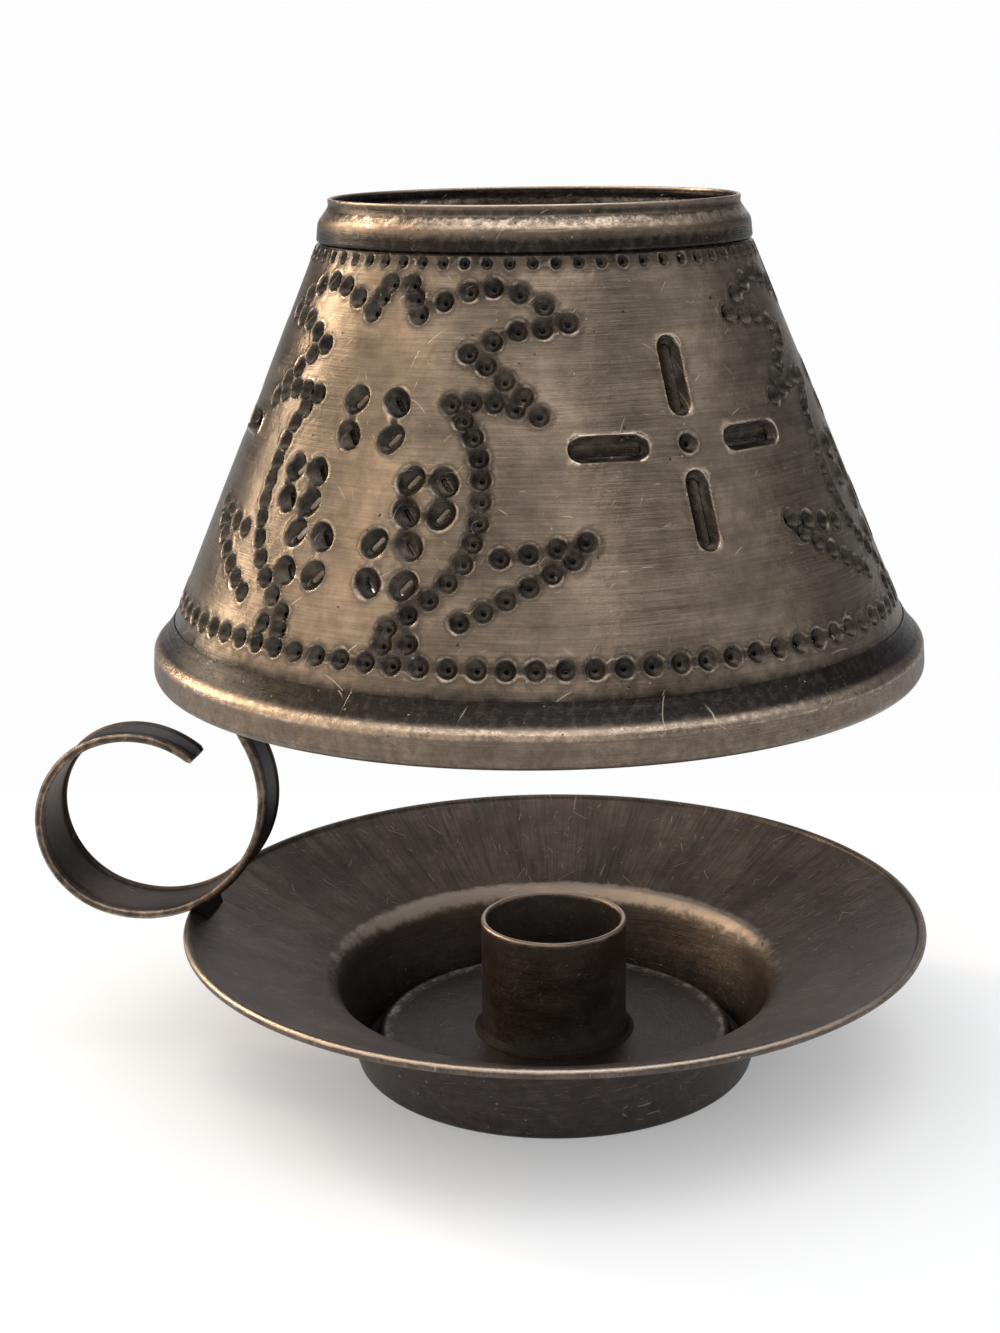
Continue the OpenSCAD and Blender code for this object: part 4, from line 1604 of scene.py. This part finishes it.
    def _standing(self, flat: np.ndarray, depth: np.ndarray, inward: float) -> np.ndarray:
        """Points of the rolled sheet, pressed in by their depth and moved inwards.

        The lap's outer layer lies on the inner one, and under the rim's band the inner one makes
        room for it instead.
        """
        turn, height = self.roll_up(flat)
        radius = self.radius(height)
        first, last = self.turn_range
        over = smooth_step(last - self.lap_turn - 2.5, last - self.lap_turn - 0.3, turn)
        under = smooth_step(first + self.lap_turn + 2.5, first + self.lap_turn + 0.3, turn)
        free = smooth_step(self.band_z, self.band_z + 2.2, height)
        lapped = over * free - under * (1 - free)
        fade = 1 - np.clip(np.abs(height / self.place.top_z - 0.5) * 2, 0, 1) ** 4
        way = np.radians(turn)
        dent = self.dent * fade * (0.5 + 0.25 * np.sin(3 * way + 0.11 * height + 1)
                                   + 0.25 * np.sin(7 * way - 0.16 * height))
        sink = depth + inward + dent - lapped * (self.sheet + 0.03)
        lean = math.atan(self.slope)
        radius = radius - sink * math.cos(lean)
        up = height - sink * math.sin(lean)
        return np.column_stack([
            self.place.axis_x + radius * np.sin(way), -radius * np.cos(way),
            self.place.base_z + up])

    def skin(self) -> Skin:
        """The cone's closed skin."""
        marks = self.marks()
        flat, depth, darkening, crest, wear_and_sheen = self._layout(marks)
        triangles = self._mesh_flat(flat, marks)
        used = np.unique(triangles)
        renumber = np.full(len(flat), -1)
        renumber[used] = np.arange(len(used))
        flat, depth, darkening, crest, wear_and_sheen = (
            values[used] for values in (flat, depth, darkening, crest, wear_and_sheen))
        triangles = renumber[triangles].tolist()
        _, height = self.roll_up(flat)

        count = len(flat)
        sunk = depth - self.crest_h * crest
        outer = self._standing(flat, sunk, 0.0)
        inner = self._standing(flat, sunk, self.sheet)
        edges = {edge: None for a, b, c in triangles for edge in ((a, b), (b, c), (c, a))}
        rim_edges = [(start, end) for start, end in edges if (end, start) not in edges]
        faces: list[tuple[int, ...]] = [tuple(face) for face in triangles]
        faces += [(c + count, b + count, a + count) for a, b, c in triangles]
        faces += [(end, start, start + count, end + count) for start, end in rim_edges]
        # Painted shade under the neck's bead, in the cove above the rim band, and all over the
        # inside.
        shade_under_neck = smooth_step(self.place.top_z - 2.8, self.place.top_z - 0.8, height)
        shade_above_rim = smooth_step(self.band_z + 3.2, self.band_z - 0.4, height)
        dark = np.maximum(darkening, np.maximum(0.85 * shade_under_neck, shade_above_rim))
        LOG.info("cone: %d marks, %d points, %d edges of holes", len(marks), count, len(rim_edges))
        sheet = Skin(np.concatenate([outer, inner]), faces, np.concatenate([wear_and_sheen, 0 * wear_and_sheen]),
                     np.concatenate([dark, np.ones(count)]))
        return sheet.joined(self._slivers(marks))

    def _slivers(self, marks: list[Punch]) -> Skin:
        """The slivers that stay hinged to the sheet behind the holes.

        Args:
            marks: The punch marks.

        Returns:
            Their skins as one.
        """
        points: list[np.ndarray] = []
        wear_and_sheen: list[np.ndarray] = []
        patina_and_shade: list[np.ndarray] = []
        lean = math.atan(self.slope)
        for mark in marks:
            sliver = SLIVERS[mark.kind]
            tool = TOOLS[mark.kind]
            turn = math.radians(mark.turn)
            sine, cosine = math.sin(turn), math.cos(turn)
            right = np.array([cosine, sine, 0.0])
            out = np.array([sine * math.cos(lean), -cosine * math.cos(lean), math.sin(lean)])
            down = np.array([sine * math.sin(lean), -cosine * math.sin(lean), -math.cos(lean)])
            way = math.radians(mark.lean)
            long_way = math.cos(way) * down + math.sin(way) * right
            short_way = math.cos(way) * right - math.sin(way) * down
            hinge, fold = (short_way, long_way) if sliver.across else (long_way, short_way)
            if abs(fold @ down) > 0.1:
                fold = fold * np.sign(fold @ down)
            else:
                fold = fold * -np.sign(mark.turn + 1e-6)
            spot = self.place.standing(turn, float(self.radius(mark.height)), mark.height)
            shape, rub_and_glint = sliver.shape(tool)
            points.append(spot + shape[:, :1] * hinge + shape[:, 1:2] * fold - shape[:, 2:] * out)
            wear_and_sheen.append(rub_and_glint)
            patina_and_shade.append(np.full(len(rub_and_glint), sliver.patina_and_shade))
        faces = Sliver.faces()
        stride = len(points[0])
        moved = [tuple(corner + stride * index for corner in face)
                 for index in range(len(points)) for face in faces]
        return Skin(np.concatenate(points), moved, np.concatenate(wear_and_sheen), np.concatenate(patina_and_shade))


@dataclass
class ShadeNeck(Piece):
    """The shade's neck: lip, bead and a flange tucked inside the cone."""

    NAME = "beaded_neck"
    BODY = "shade"
    SLOT = "shade_tin"
    NODES = ("shade_collar",)

    place: ShadePlace
    cone: PunchedCone
    neck_r: float = 31.6
    sheet: float = 0.5
    lip_h: float = 1.3
    bead_drop: float = 3.6
    bead_in: float = 0.55
    tuck_h: float = 0.5
    gap: float = 0.05
    segments: int = 264

    def skin(self) -> Skin:
        """The neck's skin: painted highlight on the bead, a worn lip, and painted shade under bead
        and lip and inside.
        """
        place = self.place
        top_r = self.cone.top_r
        middle = self.neck_r - self.sheet / 2
        tuck_z = place.top_z + self.gap + self.sheet / 2
        flange_r = top_r - 1.5 * self.sheet * math.sqrt(1 + self.cone.slope ** 2) - self.gap
        path = rounded_path([
            (flange_r + 0.1, place.top_z - 0.2, 0),
            (flange_r, tuck_z, self.tuck_h / 2),
            (top_r - self.bead_in / 2, tuck_z + self.tuck_h, self.tuck_h / 2),
            (top_r - self.bead_in, place.height - self.bead_drop, 2.2),
            (middle - 0.1, place.height - self.lip_h, self.lip_h),
            (middle, place.height - self.sheet / 2, 0)])
        outline = sheet_outline(resampled(path, 0.4), self.sheet, self.sheet / 2)
        skin = turned(outline + [0, place.base_z], place.axis_x, self.segments)
        radius, up = place.reach_and_rise(skin.points)
        # Painted highlight along the bead.
        bead_z = place.height - self.bead_drop + 1.0
        bead = smooth_step(1.5, 0.3, np.abs(up - bead_z)) * (radius > middle - 0.1)
        lip = smooth_step(place.height - 0.42, place.height - 0.12, up)
        skin.wear_and_sheen = np.maximum(0.5 * bead, 0.8 * lip)
        # Painted shade under the bead and the lip, and inside.
        shade_under_bead = smooth_step(tuck_z + 3.5, tuck_z + 1.4, up)
        shade_under_lip = 0.8 * smooth_step(1.0, 0.2, np.abs(up - (place.height - 1.1)))
        inside = smooth_step(middle + 0.1, middle - 0.1, radius) * (up < place.height - 0.4)
        inner = (radius < top_r - self.bead_in - 0.35) & (up < place.height - 1.6)
        skin.patina_and_shade = np.maximum.reduce([shade_under_bead, shade_under_lip, inside, inner.astype(float)])
        return skin


@dataclass
class ShadeRim(Piece):
    """The shade's rim: a feathered band that flares from the cone to a shoulder and rolls under."""

    NAME = "rolled_rim"
    BODY = "shade"
    SLOT = "shade_tin"
    NODES = ("shade_rim_band",)

    place: ShadePlace
    cone: PunchedCone
    sheet: float = 0.5
    feather: float = 0.06
    feather_l: float = 3.0
    wire_r: float = 1.05
    gap: float = 0.05
    top_z: float = 9.0
    bend_z: float = 6.4
    bend_r: float = 4.0
    shoulder_z: float = 4.7
    shoulder_r: float = 1.2
    shoulder_in: float = 0.2
    roll_turn: float = -205.0
    segments: int = 360

    def _path(self) -> tuple[np.ndarray, np.ndarray]:
        """Middle of the band and its thickness at each point."""
        inside = self.wire_r + self.gap
        middle = (self.place.rim_r - inside - self.sheet, inside + self.sheet)
        face = middle[0] + inside
        base = resampled(np.concatenate([
            rounded_path([
                (float(self.cone.radius(self.top_z)) + self.gap, self.top_z, 0),
                (float(self.cone.radius(self.bend_z)) + self.gap, self.bend_z, self.bend_r),
                (face - self.shoulder_in, self.shoulder_z, self.shoulder_r),
                (face, middle[1], 0)]),
            arc(middle, inside, 0, self.roll_turn, 24)[1:]]), 0.4)
        grown = smooth_step(0, self.feather_l, places_along(base))
        thickness = self.feather + (self.sheet - self.feather) * grown
        return base + left_sides(base) * thickness[:, None] / 2, thickness

    def skin(self) -> Skin:
        """The rim's skin: painted highlight on its shoulder, and painted shade on its band above
        the bend and inside its roll.
        """
        place = self.place
        path, thickness = self._path()
        outline = sheet_outline(path, thickness, self.sheet / 2)
        skin = turned(outline + [0, place.base_z], place.axis_x, self.segments)
        radius, up = place.reach_and_rise(skin.points)
        roll_r = place.rim_r - self.sheet - self.gap - self.wire_r
        # Painted highlight on the shoulder.
        skin.wear_and_sheen = 0.52 * smooth_step(1.2, 0.4, np.abs(up - self.shoulder_z - 0.35))
        # Painted shade above the bend and inside the roll; the fold and a light patina are the
        # band's own.
        fold = smooth_step(0.5, 0.1, np.abs(up - 1.2)) * (radius > roll_r)
        under = smooth_step(roll_r + 0.6, roll_r - 0.4, radius) * (up < self.shoulder_z - 1)
        cove_shade = smooth_step(self.bend_z - 1.1, self.bend_z - 0.1, up)
        skin.patina_and_shade = np.maximum.reduce([0.15 + 0.3 * fold, under, cove_shade])
        return skin


@dataclass
class SeamRivets(Piece):
    """The domed rivets that close the lap seam."""

    NAME = "seam_rivets"
    BODY = "shade"
    SLOT = "shade_tin"
    NODES = ("shade_seam_rivets",)

    cone: PunchedCone
    heights: tuple[float, ...] = (18.5, 37.0, 52.5)
    head_r: float = 1.6
    shank_r: float = 0.8
    head_h: float = 0.6
    segments: int = 32

    def skin(self) -> Skin:
        """The rivets' skins as one."""
        face = self.cone.sheet + 0.05
        dome = arc((0, 0), 1, 90, 0, 6) * [self.head_r, self.head_h]
        outline = np.concatenate([
            dome + [0, face], [[self.shank_r, face], [self.shank_r, -face]],
            (dome * [1, -1] - [0, face])[::-1]])
        outline[[0, -1], 0] = 0.0
        lean = math.atan(self.cone.slope)
        turn = math.radians(self.cone.seam_turn)
        tilt = (Matrix.Rotation(turn - math.pi / 2, 3, "Z")
                @ Matrix.Rotation(math.pi / 2 - lean, 3, "Y"))
        whole: Skin | None = None
        for height in self.heights:
            rivet = turned(outline[::-1], 0.0, self.segments)
            rivet.wear_and_sheen += 0.5
            spot = self.cone.place.standing(turn, float(self.cone.radius(height)), height)
            rivet.points = rivet.points @ np.array(tilt).T + spot
            whole = rivet if whole is None else whole.joined(rivet)
        return whole


# Studio


@dataclass(frozen=True)
class SoftLight:
    """One soft lamp: where it stands, what it faces, its size in metres, power and colour."""

    name: str
    place: Colour
    target: Colour
    size: tuple[float, float]
    power: float
    colour: Colour

    def build(self) -> None:
        """Adds the lamp."""
        lamp = bpy.data.lights.new(self.name, "AREA")
        lamp.shape = "RECTANGLE"
        lamp.size, lamp.size_y = self.size
        lamp.energy = self.power
        lamp.color = self.colour
        holder = bpy.data.objects.new(self.name, lamp)
        holder.location = self.place
        way = Vector(self.target) - Vector(self.place)
        holder.rotation_euler = way.to_track_quat("-Z", "Y").to_euler()
        bpy.context.scene.collection.objects.link(holder)


@dataclass(frozen=True)
class RoomPanel:
    """A pale panel of the room, as the lantern's metal mirrors it.

    A panel reaches from its lower edge up to the ceiling.

    Attributes:
        turn: Where it stands, in degrees from the camera's side (-Y) towards +X.
        half_width: Half of its width, in degrees.
        softness: Width of its soft edge, in degrees.
        colour: Its brightness and colour.
        low: Height of its lower edge, from -1 straight down to 1 straight up.
    """

    turn: float
    half_width: float
    softness: float
    colour: Colour
    low: float = -1.5


@dataclass
class Studio:
    """The pale floor, the soft light and the camera.

    Attributes:
        camera_place: Where the camera stands, in mm.
        pitch: How far it looks down, in degrees.
        yaw: How far it turns to the left, in degrees.
        roll: How far it leans, in degrees.
        focal_px: Focal length in pixels of the photograph.
        image_long_side_px: Height of the photograph.
        sensor: Height of the sensor, in mm.
        floor_colour: Colour of the floor.
        room_colour: What metal mirrors between the panels.
        ceiling_colour: What metal mirrors overhead.
        even_level: Strength of the even light on surfaces that aren't metal.
        even_lean: How much stronger that light is from the front.
        paper_share: Least share of white in the floor.
        paper_mirrored: Brightness of the floor's white part in the metal.
        white: Level of the white surroundings.
        panels: Panels of the room.
        lights: Lamps.
    """

    camera_place: tuple[float, float, float] = (-0.4, -334.0, 157.0)
    pitch: float = 14.986
    yaw: float = 1.369
    roll: float = -0.812
    focal_px: float = 2128.0
    image_long_side_px: float = 1333.0
    sensor: float = 36.0
    floor_colour: Colour = (0.89, 0.9, 0.915)
    room_colour: Colour = (0.11, 0.108, 0.112)
    ceiling_colour: Colour = (1.3, 1.24, 1.17)
    even_level: float = 1.02
    even_lean: float = 0.95
    paper_share: float = 0.22
    paper_mirrored: float = 0.5
    white: float = 0.985
    panels: tuple[RoomPanel, ...] = (
        RoomPanel(-82, 18, 16, (1.2, 0.97, 0.73)),
        RoomPanel(-45, 24, 22, (0.6, 0.52, 0.43)),
        RoomPanel(9, 9, 10, (0.86, 0.76, 0.66)),
        RoomPanel(74, 12, 12, (0.45, 0.44, 0.43)),
        RoomPanel(98, 22, 16, (0.6, 0.58, 0.56), 0.42),
        RoomPanel(48, 22, 16, (1.1, 1.03, 0.95), 0.68),
        RoomPanel(178, 16, 10, (0.72, 0.7, 0.72)),
    )
    lights: tuple[SoftLight, ...] = (
        SoftLight("key", (-0.614, 0.3, 0.42), (0, 0, 0.1), (0.09, 0.5), 2.7, (1.0, 0.8, 0.58)),
        SoftLight("overhead", (-0.05, -0.1, 1.0), (0, 0, 0.0), (1.2, 0.8), 2.6, (1.0, 0.99, 0.98)),
    )

    FLOOR_REACH = 6.0
    # Where the floor has turned into the white surroundings: places along Y and distances, in m
    FADE_BEHIND = (0.07, 0.15)
    FADE_AROUND = (0.2, 0.6)
    # The ceiling's edge, which leans to the front, and the soft lower edge of a panel
    CEILING_EDGE = (0.84, 0.97)
    CEILING_LEAN = 0.15
    PANEL_FOOT = 0.2

    def build_camera(self) -> None:
        """Adds the camera at the photograph's place."""
        data = bpy.data.cameras.new("photo_camera")
        data.sensor_width = self.sensor
        data.lens = self.focal_px * self.sensor / self.image_long_side_px
        data.clip_start = 0.01
        camera = bpy.data.objects.new("photo_camera", data)
        turn = (Matrix.Rotation(math.radians(self.yaw), 4, "Z")
                @ Matrix.Rotation(math.radians(90 - self.pitch), 4, "X")
                @ Matrix.Rotation(math.radians(self.roll), 4, "Z"))
        camera.matrix_world = Matrix.Translation(Vector(self.camera_place) * MM) @ turn
        bpy.context.scene.collection.objects.link(camera)
        bpy.context.scene.camera = camera

    @staticmethod
    def seen_directly(sheet: NodeSheet, rays: bpy.types.Node) -> bpy.types.NodeSocket:
        """1 for what the camera sees, also through something clear."""
        through = rays.outputs["Is Transmission Ray"]
        return sheet.math("MAXIMUM", rays.outputs["Is Camera Ray"], through)

    def build_floor(self) -> None:
        """Adds the floor, which fades into the white surroundings."""
        mesh = bpy.data.meshes.new("floor")
        reach = self.FLOOR_REACH
        corners = [(-reach, -reach, 0), (reach, -reach, 0), (reach, reach, 0), (-reach, reach, 0)]
        mesh.from_pydata(corners, [], [(0, 1, 2, 3)])
        floor = bpy.data.objects.new("floor", mesh)
        bpy.context.scene.collection.objects.link(floor)
        material = bpy.data.materials.new("floor_paper")
        material.use_nodes = True
        sheet = NodeSheet(material.node_tree)
        shader = material.node_tree.nodes["Principled BSDF"]
        shader.inputs["Base Color"].default_value = (*self.floor_colour, 1)
        shader.inputs["Roughness"].default_value = 0.9
        shader.inputs["Specular IOR Level"].default_value = 0.1
        rays = sheet.add("ShaderNodeLightPath")
        direct = self.seen_directly(sheet, rays)
        glow = sheet.add("ShaderNodeEmission")
        sheet.feed(glow.inputs["Strength"],
                   sheet.eased(direct, 0.0, 1.0, self.paper_mirrored, self.white))
        place = sheet.object_place()
        length = sheet.add("ShaderNodeVectorMath", operation="LENGTH")
        sheet.feed(length.inputs[0], place)
        behind = sheet.eased(sheet.split(place)[1], *self.FADE_BEHIND)
        around = sheet.eased(length.outputs["Value"], *self.FADE_AROUND)
        far = sheet.math("MAXIMUM", sheet.math("MAXIMUM", behind, around), self.paper_share)
        seen = sheet.math("MAXIMUM", direct, rays.outputs["Is Glossy Ray"])
        mix = sheet.add("ShaderNodeMixShader")
        sheet.feed(mix.inputs[0], sheet.math("MULTIPLY", far, seen))
        sheet.feed(mix.inputs[1], shader.outputs[0])
        sheet.feed(mix.inputs[2], glow.outputs[0])
        output = material.node_tree.nodes["Material Output"]
        sheet.feed(output.inputs["Surface"], mix.outputs[0])
        dress(floor, material)

    def build_world(self) -> None:
        """Lights the room: pale panels round the lantern, a pale ceiling and a white backdrop."""
        world = bpy.data.worlds.new("studio_room")
        bpy.context.scene.world = world
        world.use_nodes = True
        sheet = NodeSheet(world.node_tree)
        background = world.node_tree.nodes["Background"]
        x, y, z = sheet.split(sheet.add("ShaderNodeTexCoord").outputs["Generated"])
        squares = sheet.math("ADD", sheet.math("MULTIPLY", x, x), sheet.math("MULTIPLY", y, y))
        level = sheet.math("ADD", sheet.math("SQRT", squares), 0.001)
        room: object = (*self.room_colour, 1)
        for panel in self.panels:
            turn = math.radians(panel.turn)
            facing = sheet.math("SUBTRACT", sheet.math("MULTIPLY", x, math.sin(turn)),
                                sheet.math("MULTIPLY", y, math.cos(turn)))
            facing = sheet.math("DIVIDE", facing, level)
            outer = math.cos(math.radians(panel.half_width + panel.softness))
            inner = math.cos(math.radians(max(0.0, panel.half_width - panel.softness)))
            share = sheet.math("MULTIPLY", sheet.eased(facing, outer, inner),
                               sheet.eased(z, panel.low, panel.low + self.PANEL_FOOT))
            room = sheet.blend(share, room, (*panel.colour, 1), "ADD")
        overhead = sheet.math("SUBTRACT", z, sheet.math("MULTIPLY", y, self.CEILING_LEAN))
        ceiling = sheet.eased(overhead, *self.CEILING_EDGE)
        room = sheet.blend(ceiling, room, (*self.ceiling_colour, 1))
        rays = sheet.add("ShaderNodeLightPath")
        lean = sheet.math("ADD", 1.0, sheet.math("MULTIPLY", y, -self.even_lean))
        even = sheet.math("MULTIPLY", lean, self.even_level)
        room = sheet.blend(rays.outputs["Is Diffuse Ray"], room, sheet.vector(even, even, even))
        shown = sheet.blend(self.seen_directly(sheet, rays), room, (*[self.white] * 3, 1))
        sheet.feed(background.inputs["Color"], shown)
        background.inputs["Strength"].default_value = 1.0

    def build(self) -> None:
        """Builds the studio."""
        self.build_camera()
        self.build_floor()
        self.build_world()
        for light in self.lights:
            light.build()
        bpy.context.scene.view_settings.view_transform = "Standard"


def finishes(place: ShadePlace) -> dict[str, TinFinish]:
    """The lantern's finishes by name."""
    return {
        "shade": TinFinish(
            "shade_antique_tin", (0.62, 0.51, 0.4), (0.26, 0.21, 0.165), (0.012, 0.01, 0.009),
            (0.19, 0.135, 0.095), Grain.AROUND, axis_x=place.axis_x, roughness=0.3, clouds=0.5,
            lines=0.5, rubs=0.3, scratches=0.3, nicks=0.3, brushed=0.75, seed=0.31,
            cloud_size=17.0, nick_spacing=1.7, marks=0.4),
        "rolled": TinFinish(
            "rolled_antique_tin", (0.6, 0.49, 0.395), (0.25, 0.198, 0.153), (0.011, 0.009, 0.008),
            (0.15, 0.105, 0.075), Grain.AROUND, axis_x=place.axis_x, roughness=0.3, clouds=0.4,
            lines=0.25, rubs=0.6, scratches=0.12, nicks=0.6, brushed=0.35, seed=0.66,
            nick_spacing=1.2, cloud_size=7.0, marks=0.5),
        "pan": TinFinish(
            "pan_blackened_tin", (0.54, 0.455, 0.385), (0.075, 0.061, 0.054), (0.028, 0.023, 0.021),
            (0.14, 0.088, 0.058), Grain.OUTWARD, inner_radius=36.0, roughness=0.4, clouds=0.5,
            lines=0.32, rubs=0.5, scratches=0.6, nicks=0.3, stroke=10.0, pitch=0.35,
            brushed=0.2, seed=0.12, raggedness=0.3, marks=0.42),
        "socket": TinFinish(
            "socket_blackened_tin", (0.54, 0.44, 0.36), (0.085, 0.07, 0.06), (0.03, 0.025, 0.022),
            (0.19, 0.15, 0.122), Grain.AROUND, roughness=0.4, clouds=0.5, lines=0.2, rubs=0.65,
            scratches=0.5, nicks=0.3, seed=0.57, oxide=0.7, marks=0.45),
        "strap": TinFinish(
            "strap_blackened_tin", (0.4, 0.32, 0.255), (0.062, 0.05, 0.043), (0.012, 0.01, 0.009),
            (0.12, 0.08, 0.055), Grain.ALONG, roughness=0.4, clouds=0.5, lines=0.18, rubs=0.45,
            scratches=0.25, nicks=0.1, stroke=8.0, seed=0.83),
        "wire": TinFinish(
            "dark_wire", (0.3, 0.27, 0.24), (0.09, 0.08, 0.07), (0.02, 0.018, 0.016),
            (0.14, 0.1, 0.07), Grain.AROUND, axis_x=place.axis_x, roughness=0.42, seed=0.2),
        "solder": TinFinish(
            "dull_solder", (0.16, 0.145, 0.13), (0.035, 0.031, 0.028), (0.012, 0.011, 0.01),
            (0.06, 0.05, 0.04), Grain.AROUND, roughness=0.5, clouds=0.6, lines=0.1, seed=0.44),
    }


# The solids that stay as they are, each with its finish
KEPT_SOLIDS = {
    "socket_solder": "solder", "handle_solder": "solder", "ring_solder": "solder",
    "carrier_ring": "wire", "shade_rim_wire": "wire",
}


def main() -> None:
    """Builds and dresses the lantern."""
    logging.basicConfig(level=logging.INFO, format="%(name)s: %(message)s")
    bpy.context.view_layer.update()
    Studio().build()
    effects = SurfaceEffects.build()
    place = ShadePlace.from_frame()
    materials = {name: finish.build(effects) for name, finish in finishes(place).items()}
    DripPan.from_frame().build(materials["pan"])
    CandleSocket.from_frame().build(materials["socket"])
    StrapHandle().build(materials["strap"])
    cone = PunchedCone(place)
    cone.build(materials["shade"])
    ShadeNeck(place, cone).build(materials["rolled"])
    ShadeRim(place, cone).build(materials["rolled"])
    SeamRivets(cone).build(materials["shade"])
    for node, finish in KEPT_SOLIDS.items():
        dress(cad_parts[node], materials[finish])
        LOG.info("%s keeps its solid", node)


if __name__ == "__main__":
    main()
